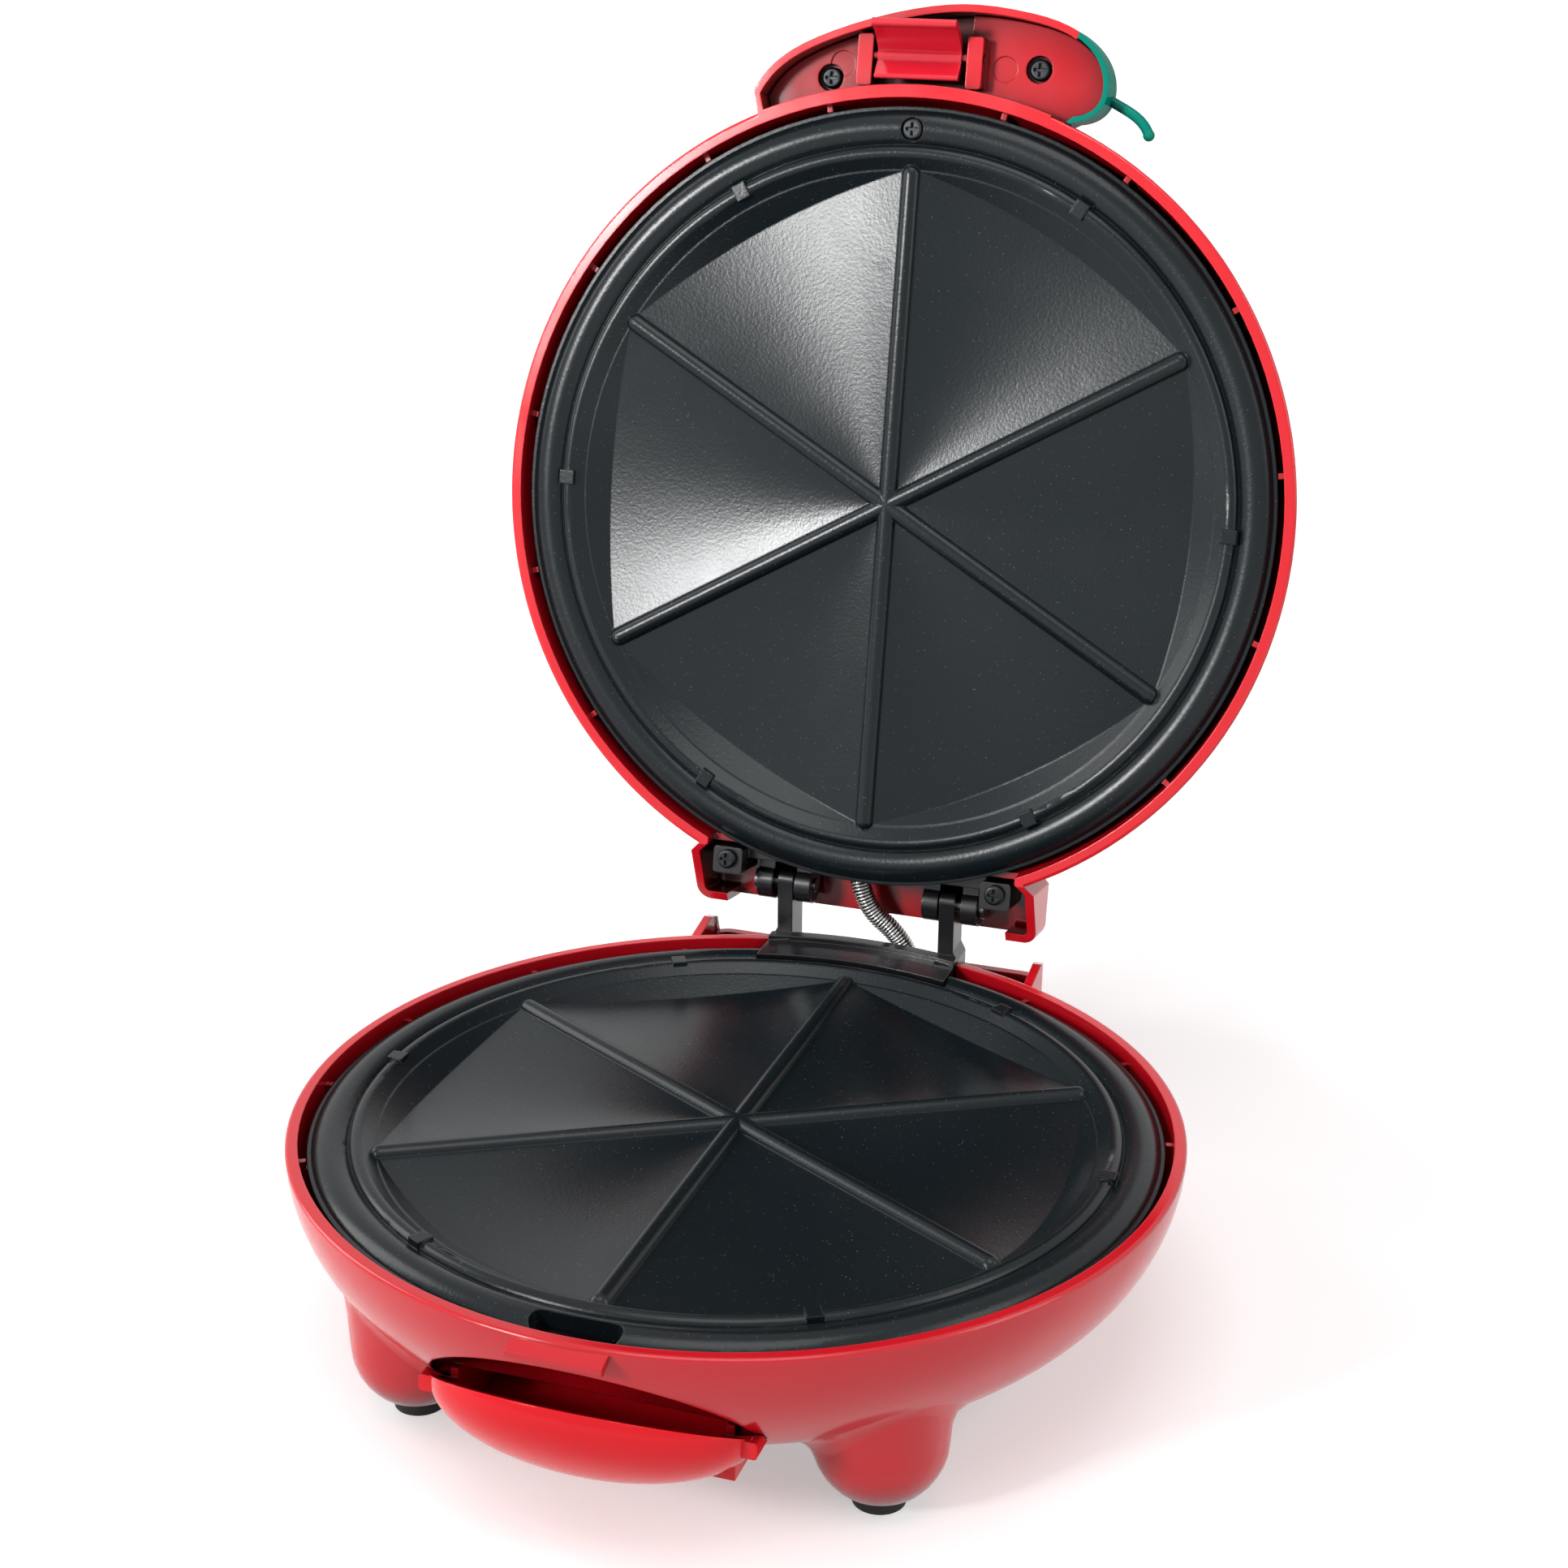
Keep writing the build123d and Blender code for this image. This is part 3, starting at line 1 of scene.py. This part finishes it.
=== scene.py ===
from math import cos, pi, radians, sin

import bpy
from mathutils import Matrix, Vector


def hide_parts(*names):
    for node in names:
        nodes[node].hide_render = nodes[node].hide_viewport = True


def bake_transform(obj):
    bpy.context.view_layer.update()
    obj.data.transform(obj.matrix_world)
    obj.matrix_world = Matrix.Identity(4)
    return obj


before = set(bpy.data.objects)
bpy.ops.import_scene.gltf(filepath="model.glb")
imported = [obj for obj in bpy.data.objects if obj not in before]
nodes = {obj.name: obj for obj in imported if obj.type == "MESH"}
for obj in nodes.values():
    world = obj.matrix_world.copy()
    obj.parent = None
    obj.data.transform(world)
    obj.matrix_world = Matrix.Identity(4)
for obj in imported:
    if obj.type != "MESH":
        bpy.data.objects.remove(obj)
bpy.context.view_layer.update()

# %% [markdown]
# A quesadilla maker, dressed for its portrait.
# The machine is a red clam shell: a bowl on four round legs, a domed lid, and a black cooking plate in
# each half. The solids arrive ready-made and already in place, in metres. This lesson is about light and
# finishes, and about the one piece that is too fine for a solid: the wound steel conduit at the hinge.

print("pieces from the workshop:", len(nodes))

# %% [markdown]
# The camera stands a little to the right of the machine and looks down at it. A camera can be aimed by
# hand, by a constraint or by numbers. Numbers are used here, because a likeness needs the place, the
# heading and the lens to agree, and a place, three angles and a focal length say all of it.

# %% Camera
CAMERA_AT = Vector((0.2015, -0.58575, 0.3693))
AZIMUTH, ELEVATION, ROLL = radians(18.71), radians(20.32), radians(0.53)
LENS_MM = 59.24

outward = Vector((sin(AZIMUTH) * cos(ELEVATION), -cos(AZIMUTH) * cos(ELEVATION), sin(ELEVATION)))
level_right = Vector((cos(AZIMUTH), sin(AZIMUTH), 0))
level_up = outward.cross(level_right)
image_right = level_right * cos(ROLL) + level_up * sin(ROLL)
image_up = level_up * cos(ROLL) - level_right * sin(ROLL)
turn = Matrix((image_right, image_up, outward)).transposed()

camera_data = bpy.data.cameras.new("camera")
camera_data.lens = LENS_MM
camera_data.clip_start = 0.01
camera = bpy.data.objects.new("camera", camera_data)
camera.matrix_world = Matrix.Translation(CAMERA_AT) @ turn.to_4x4()
bpy.context.scene.collection.objects.link(camera)
bpy.context.scene.camera = camera
bpy.context.scene.view_settings.view_transform = "Standard"
print("camera looks along", [round(-v, 3) for v in outward])

# %% [markdown]
# A studio for a glossy red thing has three parts: a white surround, which the gloss mirrors, a few soft
# boxes, which draw the long highlights, and a floor that fades to white but keeps the shadow.
# The surround and the floor glow only for rays that look at them, so they never light the machine. A
# Light Path node tells the two apart.

# %% Helpers for shader trees
def empty_tree(owner):
    """Switch an owner's nodes on and clear them."""
    owner.use_nodes = True
    owner.node_tree.nodes.clear()
    return owner.node_tree


def node(tree, kind, **sockets):
    """Add a node and set its plain inputs by name."""
    made = tree.nodes.new(kind)
    for socket, value in sockets.items():
        made.inputs[socket.replace("_", " ")].default_value = value
    return made


def math_node(tree, operation, first, second):
    """A Math node. Each input is a number or another node's output."""
    made = tree.nodes.new("ShaderNodeMath")
    made.operation = operation
    for place, value in enumerate((first, second)):
        if isinstance(value, (int, float)):
            made.inputs[place].default_value = value
        else:
            tree.links.new(value, made.inputs[place])
    return made.outputs[0]


def looked_at(tree):
    """1 for rays that look (camera, gloss, glass) and 0 for rays that carry light."""
    path = tree.nodes.new("ShaderNodeLightPath")
    eye_or_gloss = math_node(tree, "MAXIMUM", path.outputs["Is Camera Ray"], path.outputs["Is Glossy Ray"])
    return math_node(tree, "MAXIMUM", eye_or_gloss, path.outputs["Is Transmission Ray"])


# %% World
WHITE = (1, 1, 1, 1)
SKY_FILL = 0.23

world = bpy.data.worlds.new("studio")
bpy.context.scene.world = world
tree = empty_tree(world)
fill_light = node(tree, "ShaderNodeBackground", Color=(0.96, 0.98, 1.0, 1), Strength=SKY_FILL)
white_wall = node(tree, "ShaderNodeBackground", Color=WHITE, Strength=1.0)
which = tree.nodes.new("ShaderNodeMixShader")
tree.links.new(looked_at(tree), which.inputs[0])
tree.links.new(fill_light.outputs[0], which.inputs[1])
tree.links.new(white_wall.outputs[0], which.inputs[2])
tree.links.new(which.outputs[0], tree.nodes.new("ShaderNodeOutputWorld").inputs["Surface"])
print("world fill:", SKY_FILL)

# %% [markdown]
# The floor is matt paper plus its own glow. Under the machine the glow is at its weakest, so that the
# shadow shows. Further out it grows to full white, and the paper runs into the wall without an edge.

# %% Floor
FLOOR_HALF = 7.0
GLOW_NEAR, GLOW_FAR = 0.42, 1.0
SHADOW_ZONE = (0.22, 0.75)

floor_mesh = bpy.data.meshes.new("floor")
corners = [(x * FLOOR_HALF, y * FLOOR_HALF, 0) for x, y in ((-1, -1), (1, -1), (1, 1), (-1, 1))]
floor_mesh.from_pydata(corners, [], [(0, 1, 2, 3)])
floor = bpy.data.objects.new("floor", floor_mesh)
bpy.context.scene.collection.objects.link(floor)

paper = bpy.data.materials.new("floor_paper")
tree = empty_tree(paper)
matt = node(tree, "ShaderNodeBsdfDiffuse", Color=(0.82, 0.82, 0.82, 1))
reach = tree.nodes.new("ShaderNodeVectorMath")
reach.operation = "LENGTH"
tree.links.new(tree.nodes.new("ShaderNodeTexCoord").outputs["Object"], reach.inputs[0])
glow_level = node(tree, "ShaderNodeMapRange", From_Min=SHADOW_ZONE[0], From_Max=SHADOW_ZONE[1],
                  To_Min=GLOW_NEAR, To_Max=GLOW_FAR)
tree.links.new(reach.outputs["Value"], glow_level.inputs["Value"])
glow = node(tree, "ShaderNodeEmission", Color=WHITE)
tree.links.new(math_node(tree, "MULTIPLY", glow_level.outputs[0], looked_at(tree)), glow.inputs["Strength"])
both = tree.nodes.new("ShaderNodeAddShader")
tree.links.new(matt.outputs[0], both.inputs[0])
tree.links.new(glow.outputs[0], both.inputs[1])
tree.links.new(both.outputs[0], tree.nodes.new("ShaderNodeOutputMaterial").inputs["Surface"])
floor_mesh.materials.append(paper)
print("floor is", 2 * FLOOR_HALF, "m wide")

# %% [markdown]
# Soft boxes are area lamps. The key box stands in front and to the left, low enough for the lid's plate
# to mirror it: it draws the bright fans in the left-hand wedges. The side boxes put a long highlight on
# each flank of the bowl, and the one overhead opens up the cooking plate.

# %% Soft boxes
def soft_box(name, place, width, height, watts, aim=(0, 0, 0.12), grid=180):
    """A rectangular area lamp that faces the machine. A grid keeps its beam within some degrees."""
    data = bpy.data.lights.new(name, "AREA")
    data.shape = "RECTANGLE"
    data.size, data.size_y = width, height
    data.energy = watts
    data.spread = radians(grid)
    facing = (Vector(place) - Vector(aim)).to_track_quat("Z", "Y").to_matrix().to_4x4()
    lamp = bpy.data.objects.new(name, data)
    lamp.matrix_world = Matrix.Translation(place) @ facing
    bpy.context.scene.collection.objects.link(lamp)


soft_box("key_box", (-0.66, -0.96, 0.60), 0.26, 0.26, 0.78, aim=(0, 0.10, 0.21), grid=34)
soft_box("left_box", (-1.20, 0.00, 0.70), 0.55, 0.95, 7.0)
soft_box("right_box", (1.20, -0.10, 0.70), 0.55, 0.95, 5.5)
soft_box("top_box", (0.10, -0.45, 1.55), 0.90, 0.90, 9.0)

# %% [markdown]
# Every finish is a Principled shader with the small faults of the real thing: a bump for the grain, a
# slow change of gloss, and a Bevel node that rounds the normals at each edge without touching the mesh.
# Patterns read Object coordinates, so they are fixed to the piece and scaled in metres.

# %% Helpers for finishes
def start_finish(name, color, roughness, **sockets):
    """A new material with one Principled shader. Constants go on its own sockets."""
    finish = bpy.data.materials.new(name)
    tree = empty_tree(finish)
    shader = node(tree, "ShaderNodeBsdfPrincipled", Base_Color=(*color, 1), Roughness=roughness, **sockets)
    tree.links.new(shader.outputs[0], tree.nodes.new("ShaderNodeOutputMaterial").inputs["Surface"])
    return finish, tree, shader


def grain(tree, per_metre, detail=2.0, stretch=(1, 1, 1)):
    """A noise, sized by how many of its waves fit in a metre. A stretch below 1 draws it out."""
    mapping = node(tree, "ShaderNodeMapping", Scale=stretch)
    tree.links.new(tree.nodes.new("ShaderNodeTexCoord").outputs["Object"], mapping.inputs["Vector"])
    made = node(tree, "ShaderNodeTexNoise", Scale=per_metre, Detail=detail)
    tree.links.new(mapping.outputs[0], made.inputs["Vector"])
    return made.outputs[0]


def spread(tree, value, low, high):
    """Map the useful middle of a noise to a range."""
    made = node(tree, "ShaderNodeMapRange", From_Min=0.3, From_Max=0.7, To_Min=low, To_Max=high)
    tree.links.new(value, made.inputs["Value"])
    return made.outputs[0]


def tint(tree, value, dark, light):
    """Blend two colours by a value."""
    made = tree.nodes.new("ShaderNodeMix")
    made.data_type = "RGBA"
    made.inputs["A"].default_value = (*dark, 1)
    made.inputs["B"].default_value = (*light, 1)
    tree.links.new(value, made.inputs["Factor"])
    return made.outputs["Result"]


def soft_edges(tree, radius):
    """Normals that are rounded near edges."""
    made = node(tree, "ShaderNodeBevel", Radius=radius)
    made.samples = 4
    return made.outputs[0]


def painted_corner_shade(tree, color, reach, floor=0.06):
    """Painted shade: an Ambient Occlusion node darkens the colour in corners and slots, down to floor times
    the colour.
    """
    open_sky = node(tree, "ShaderNodeAmbientOcclusion", Distance=reach)
    open_sky.samples = 8
    lit = node(tree, "ShaderNodeMapRange", From_Min=0.15, From_Max=0.85, To_Min=0.0, To_Max=1.0)
    tree.links.new(open_sky.outputs["AO"], lit.inputs["Value"])
    made = tree.nodes.new("ShaderNodeMix")
    made.data_type = "RGBA"
    made.blend_type = "MULTIPLY"
    made.inputs["Factor"].default_value = 1.0
    shade = tint(tree, lit.outputs[0], (floor, floor, floor), (1, 1, 1))
    tree.links.new(color, made.inputs["A"])
    tree.links.new(shade, made.inputs["B"])
    return made.outputs["Result"]


def bump(tree, height, depth, over):
    """Bend the normals by a height map that is depth metres deep."""
    made = node(tree, "ShaderNodeBump", Strength=1.0, Distance=depth)
    tree.links.new(height, made.inputs["Height"])
    tree.links.new(over, made.inputs["Normal"])
    return made.outputs[0]


# %% [markdown]
# Gloss plastic from a mould: one strong colour that drifts very slightly with the flow of the melt, a skin
# that ripples by tenths of a millimetre over a hand's width, and pores of about a micrometre. The colour
# also carries painted shade, darker in corners and slots.

# %% Moulded plastics
MELT_PER_METRE, GLOSS_PER_METRE = 14, 60
DULLER, GLOSSIER = 1.25, 0.8
SINK_PER_METRE, SINK_DEPTH = 11, 0.0006
PORES_PER_METRE, PORE_DEPTH = 1500, 0.0000012


def moulded(name, color, roughness, drift=0.12, edge=0.0005, shade_reach=0.012, **sockets):
    """Injection-moulded plastic, with painted shade in its corners and slots."""
    finish, tree, shader = start_finish(name, color, roughness, **sockets)
    deeper = tuple(c * (1 - drift) for c in color)
    melt = tint(tree, grain(tree, MELT_PER_METRE, 3), deeper, color)
    # painted shade: the melt colour is darkened in corners and slots, as far as the given reach
    tree.links.new(painted_corner_shade(tree, melt, shade_reach), shader.inputs["Base Color"])
    gloss = spread(tree, grain(tree, GLOSS_PER_METRE, 4), roughness * GLOSSIER, roughness * DULLER)
    tree.links.new(gloss, shader.inputs["Roughness"])
    sunk = bump(tree, grain(tree, SINK_PER_METRE, 1), SINK_DEPTH, soft_edges(tree, edge))
    tree.links.new(bump(tree, grain(tree, PORES_PER_METRE), PORE_DEPTH, sunk), shader.inputs["Normal"])
    return finish


# the shells and the handle cover get painted shade that reaches further into their gaps and hollows
shell_red = moulded("shell_red_plastic", (0.66, 0.0055, 0.015), 0.16, shade_reach=0.022)
tray_red = moulded("tray_red_plastic", (0.86, 0.005, 0.014), 0.13, Specular_IOR_Level=0.26)
latch_red = moulded("latch_red_plastic", (0.62, 0.009, 0.025), 0.16)
cover_red = moulded("cover_red_plastic", (0.62, 0.007, 0.017), 0.2, shade_reach=0.02, Specular_IOR_Level=0.3)
cap_green = moulded("cap_green_plastic", (0.002, 0.21, 0.15), 0.3, Specular_IOR_Level=0.0, Coat_Weight=0.15)
hinge_black = moulded("hinge_black_plastic", (0.010, 0.010, 0.012), 0.24)
insulator = moulded("ivory_insulator", (0.74, 0.70, 0.6), 0.5)
foot_rubber = moulded("foot_rubber", (0.014, 0.014, 0.015), 0.7)
print("finishes so far:", len(bpy.data.materials))

# %% [markdown]
# The cooking plates are cast aluminium under a sprayed non-stick coat. Spray dries with an orange peel,
# which breaks the highlights into a fine grain, and the coat carries scattered pale flecks. A Voronoi
# texture gives the flecks: only cells in the bright parts of a noise get one, so they look thrown.

# %% Non-stick coat
COAT_DARK, COAT_FLECK = (0.0045, 0.0080, 0.0098), (0.07, 0.075, 0.08)
COAT_ROUGH_PER_METRE, COAT_ROUGH = 26, (0.23, 0.29)
THROWN_PER_METRE = 700
FLECKS_PER_METRE, PEEL_PER_METRE, PEEL_DEPTH = 900, 1100, 0.00004

coat, tree, shader = start_finish("non_stick_coat", COAT_DARK, 0.26, Specular_IOR_Level=0.25)
cells = node(tree, "ShaderNodeTexVoronoi", Scale=FLECKS_PER_METRE)
tree.links.new(tree.nodes.new("ShaderNodeTexCoord").outputs["Object"], cells.inputs["Vector"])
dot = node(tree, "ShaderNodeMapRange", From_Min=0.10, From_Max=0.18, To_Min=1.0, To_Max=0.0)
tree.links.new(cells.outputs["Distance"], dot.inputs["Value"])
thrown = node(tree, "ShaderNodeMapRange", From_Min=0.54, From_Max=0.60)
tree.links.new(grain(tree, THROWN_PER_METRE, 1), thrown.inputs["Value"])
fleck = math_node(tree, "MULTIPLY", dot.outputs[0], thrown.outputs[0])
tree.links.new(tint(tree, fleck, COAT_DARK, COAT_FLECK), shader.inputs["Base Color"])
tree.links.new(spread(tree, grain(tree, COAT_ROUGH_PER_METRE, 3), *COAT_ROUGH), shader.inputs["Roughness"])
peel = bump(tree, grain(tree, PEEL_PER_METRE), PEEL_DEPTH, soft_edges(tree, 0.0006))
tree.links.new(peel, shader.inputs["Normal"])
print("coat:", coat.name)

# %% [markdown]
# Metals come next. Drawn steel keeps faint lines along the way it was drawn, a heater is baked dull, and
# a black screw is oxide over steel. A stretched noise makes the lines: long along one axis, fine across.

# %% Metals
LINES_PER_METRE, LINE_DEPTH = 900, 0.00001


def metal(name, color, roughness, stretch=(1, 1, 1), edge=0.0003):
    """Bare or oxidised metal with drawn lines."""
    finish, tree, shader = start_finish(name, color, roughness, Metallic=1.0)
    lines = grain(tree, LINES_PER_METRE, 3, stretch)
    tree.links.new(spread(tree, lines, roughness * 0.75, roughness * 1.3), shader.inputs["Roughness"])
    tree.links.new(bump(tree, lines, LINE_DEPTH, soft_edges(tree, edge)), shader.inputs["Normal"])
    return finish


pin_steel = metal("pin_steel", (0.20, 0.20, 0.21), 0.3, stretch=(0.05, 1, 1))
spring_wire = metal("spring_wire", (0.58, 0.58, 0.57), 0.24)
bright_sheet = metal("bright_sheet", (0.66, 0.66, 0.67), 0.3, stretch=(1, 0.04, 1))
baked_steel = metal("baked_heater_steel", (0.30, 0.26, 0.22), 0.42)
screw_black = metal("black_oxide_screw", (0.028, 0.029, 0.031), 0.4)
print("finishes so far:", len(bpy.data.materials))

# %% [markdown]
# The two small lamps in the lid's top have tinted clear lenses. Transmission lets light through and the
# base colour tints it. A faint bump stands for the prisms that are moulded inside such a lens.

# %% Lamp lenses
PRISMS_PER_METRE, PRISM_DEPTH = 900, 0.00001


def tinted_lens(name, color):
    """Clear coloured plastic."""
    finish, tree, shader = start_finish(name, color, 0.06, Transmission_Weight=0.7, IOR=1.49)
    prisms = bump(tree, grain(tree, PRISMS_PER_METRE, 1), PRISM_DEPTH, soft_edges(tree, 0.0002))
    tree.links.new(prisms, shader.inputs["Normal"])
    return finish


red_lens = tinted_lens("red_lens", (0.85, 0.05, 0.03))
green_lens = tinted_lens("green_lens", (0.04, 0.6, 0.12))
print("finishes so far:", len(bpy.data.materials))

# %% Lay each finish on its pieces
finishes = {
    shell_red: ["base_housing", "lid_housing"],
    tray_red: ["drip_tray"],
    latch_red: ["latch"],
    cover_red: ["handle_cover"],
    cap_green: ["stem_cap"],
    hinge_black: ["hinge_bracket", "left_hinge_lug", "right_hinge_lug", "cord_gland", "lower_thermostat",
                  "conduit_base_bush", "conduit_lid_bush"],
    insulator: ["terminal_block", "lamp_holders"],
    foot_rubber: ["rubber_feet"],
    coat: ["lower_plate", "upper_plate"],
    pin_steel: ["hinge_pins"],
    spring_wire: ["spring_conduit"],
    bright_sheet: ["lower_heat_shield", "upper_heat_shield", "upper_thermal_fuse"],
    baked_steel: ["lower_heating_element", "upper_heating_element"],
    screw_black: ["bracket_screws", "lower_shield_screws", "upper_shield_screws", "upper_plate_screw",
                  "hinge_lug_screws", "handle_screws"],
    red_lens: ["power_light"],
    green_lens: ["ready_light"],
}
dressed = 0
for finish, names in finishes.items():
    for name in names:
        slots = nodes[name].material_slots
        for slot in slots:
            slot.material = finish
        if not slots:
            nodes[name].data.materials.append(finish)
        dressed += 1
print("dressed", dressed, "of", len(nodes))

# %% [markdown]
# The lid's heater gets its power through a flexible conduit: a spring wound from one wire, with a
# hair's gap between its turns, over a dark sleeve. The workshop's solid is a smooth tube. A coil could
# be drawn point by point in code, or with a Screw modifier on a straight axis, but this one bends, so
# Geometry Nodes wind it: points are spread along the route, and each is pushed sideways by a turning
# arrow. The same tree with no push gives the sleeve.

# %% The conduit's route, and the points along it
ROUTE = [(-0.004, 0.0895, 0.0924), (-0.004, 0.0862, 0.0739), (0.012, 0.0922, 0.0585),
         (0.013, 0.0915, 0.0425), (0.013, 0.0742, 0.0425)]

route_curve = bpy.data.curves.new("conduit_route", "CURVE")
route_curve.dimensions = "3D"
spline = route_curve.splines.new("NURBS")
spline.points.add(len(ROUTE) - 1)
for point, place in zip(spline.points, ROUTE):
    point.co = (*place, 1)
spline.order_u = 3
spline.use_endpoint_u = True
spline.resolution_u = 20
route = bpy.data.objects.new("conduit_route", route_curve)
bpy.context.scene.collection.objects.link(route)
bpy.context.view_layer.update()
route_line = bpy.data.meshes.new_from_object(route.evaluated_get(bpy.context.evaluated_depsgraph_get()))
bpy.data.objects.remove(route)
print("route points:", len(route_line.vertices))

# %% [markdown]
# The tree has named inputs for its sizes. Spline Parameter gives the distance along the route, and that
# distance over the pitch is the number of turns so far. Cosine and sine of the turns steer the push
# along the curve's normal and its cross product with the tangent.

# %% A tree that winds a wire round a path
winder = bpy.data.node_groups.new("wound_wire", "GeometryNodeTree")
face = winder.interface
face.new_socket("Path", in_out="INPUT", socket_type="NodeSocketGeometry")
WINDING_RADIUS, WIRE_RADIUS, PITCH = 0.0026, 0.0004, 0.001
SLEEVE_RADIUS, SLEEVE_STEP = 0.0021, 0.004
for label, size in {"Winding Radius": WINDING_RADIUS, "Wire Radius": WIRE_RADIUS, "Pitch": PITCH}.items():
    face.new_socket(label, in_out="INPUT", socket_type="NodeSocketFloat").default_value = size
for label, number in {"Points Per Turn": 14, "Wire Sides": 7}.items():
    face.new_socket(label, in_out="INPUT", socket_type="NodeSocketInt").default_value = number
face.new_socket("Finish", in_out="INPUT", socket_type="NodeSocketMaterial")
face.new_socket("Wire", in_out="OUTPUT", socket_type="NodeSocketGeometry")

given = winder.nodes.new("NodeGroupInput").outputs
link = winder.links.new
curve = winder.nodes.new("GeometryNodeMeshToCurve")
link(given["Path"], curve.inputs[0])
length = winder.nodes.new("GeometryNodeCurveLength")
link(curve.outputs[0], length.inputs[0])
turns = math_node(winder, "DIVIDE", length.outputs[0], given["Pitch"])
count = math_node(winder, "MULTIPLY", turns, given["Points Per Turn"])
spaced = winder.nodes.new("GeometryNodeResampleCurve")
link(curve.outputs[0], spaced.inputs["Curve"])
link(count, spaced.inputs["Count"])

along = winder.nodes.new("GeometryNodeSplineParameter")
turns_so_far = math_node(winder, "DIVIDE", along.outputs["Length"], given["Pitch"])
turned = math_node(winder, "MULTIPLY", turns_so_far, 2 * pi)
side = winder.nodes.new("GeometryNodeInputNormal")
ahead = winder.nodes.new("GeometryNodeInputTangent")


def vector_node(operation, first, second, scale=None):
    """A Vector Math node in the winding tree."""
    made = winder.nodes.new("ShaderNodeVectorMath")
    made.operation = operation
    link(first, made.inputs[0])
    if second is not None:
        link(second, made.inputs[1])
    if scale is not None:
        link(scale, made.inputs["Scale"])
    return made.outputs[0]


across = vector_node("CROSS_PRODUCT", ahead.outputs[0], side.outputs[0])
right_push = vector_node("SCALE", side.outputs[0], None, math_node(winder, "COSINE", turned, 0.0))
up_push = vector_node("SCALE", across, None, math_node(winder, "SINE", turned, 0.0))
push = vector_node("SCALE", vector_node("ADD", right_push, up_push), None, given["Winding Radius"])

wound = winder.nodes.new("GeometryNodeSetPosition")
link(spaced.outputs[0], wound.inputs["Geometry"])
link(push, wound.inputs["Offset"])
section = winder.nodes.new("GeometryNodeCurvePrimitiveCircle")
link(given["Wire Sides"], section.inputs["Resolution"])
link(given["Wire Radius"], section.inputs["Radius"])
drawn = winder.nodes.new("GeometryNodeCurveToMesh")
link(wound.outputs[0], drawn.inputs["Curve"])
link(section.outputs[0], drawn.inputs["Profile Curve"])
drawn.inputs["Fill Caps"].default_value = True
real = winder.nodes.new("GeometryNodeRealizeInstances")
link(drawn.outputs[0], real.inputs[0])
painted = winder.nodes.new("GeometryNodeSetMaterial")
link(real.outputs[0], painted.inputs["Geometry"])
link(given["Finish"], painted.inputs["Material"])
link(painted.outputs[0], winder.nodes.new("NodeGroupOutput").inputs["Wire"])
print("nodes in the winding tree:", len(winder.nodes))

# %% Wind the spring and draw the sleeve
socket_id = {item.name: item.identifier for item in face.items_tree if item.in_out == "INPUT"}


def along_route(name, finish, **sizes):
    """Run the winding tree on the route and keep its result as a plain mesh."""
    host = bpy.data.objects.new(name + "_host", route_line.copy())
    bpy.context.scene.collection.objects.link(host)
    modifier = host.modifiers.new("winding", "NODES")
    modifier.node_group = winder
    modifier[socket_id["Finish"]] = finish
    for label, size in sizes.items():
        modifier[socket_id[label.replace("_", " ")]] = size
    bpy.context.view_layer.update()
    mesh = bpy.data.meshes.new_from_object(host.evaluated_get(bpy.context.evaluated_depsgraph_get()))
    bpy.data.objects.remove(host)
    mesh.name = name
    mesh.polygons.foreach_set("use_smooth", [True] * len(mesh.polygons))
    piece = bpy.data.objects.new(name, mesh)
    bpy.context.scene.collection.objects.link(piece)
    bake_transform(piece)
    print(name, "has", len(mesh.polygons), "faces")
    return piece


sleeve_black = moulded("sleeve_black", (0.012, 0.012, 0.013), 0.5)
spring = along_route("wound_conduit", spring_wire, Winding_Radius=WINDING_RADIUS, Wire_Radius=WIRE_RADIUS,
                     Pitch=PITCH)
along_route("conduit_sleeve", sleeve_black, Winding_Radius=0.0, Wire_Radius=SLEEVE_RADIUS, Pitch=SLEEVE_STEP,
            Points_Per_Turn=4, Wire_Sides=16)
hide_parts("spring_conduit")
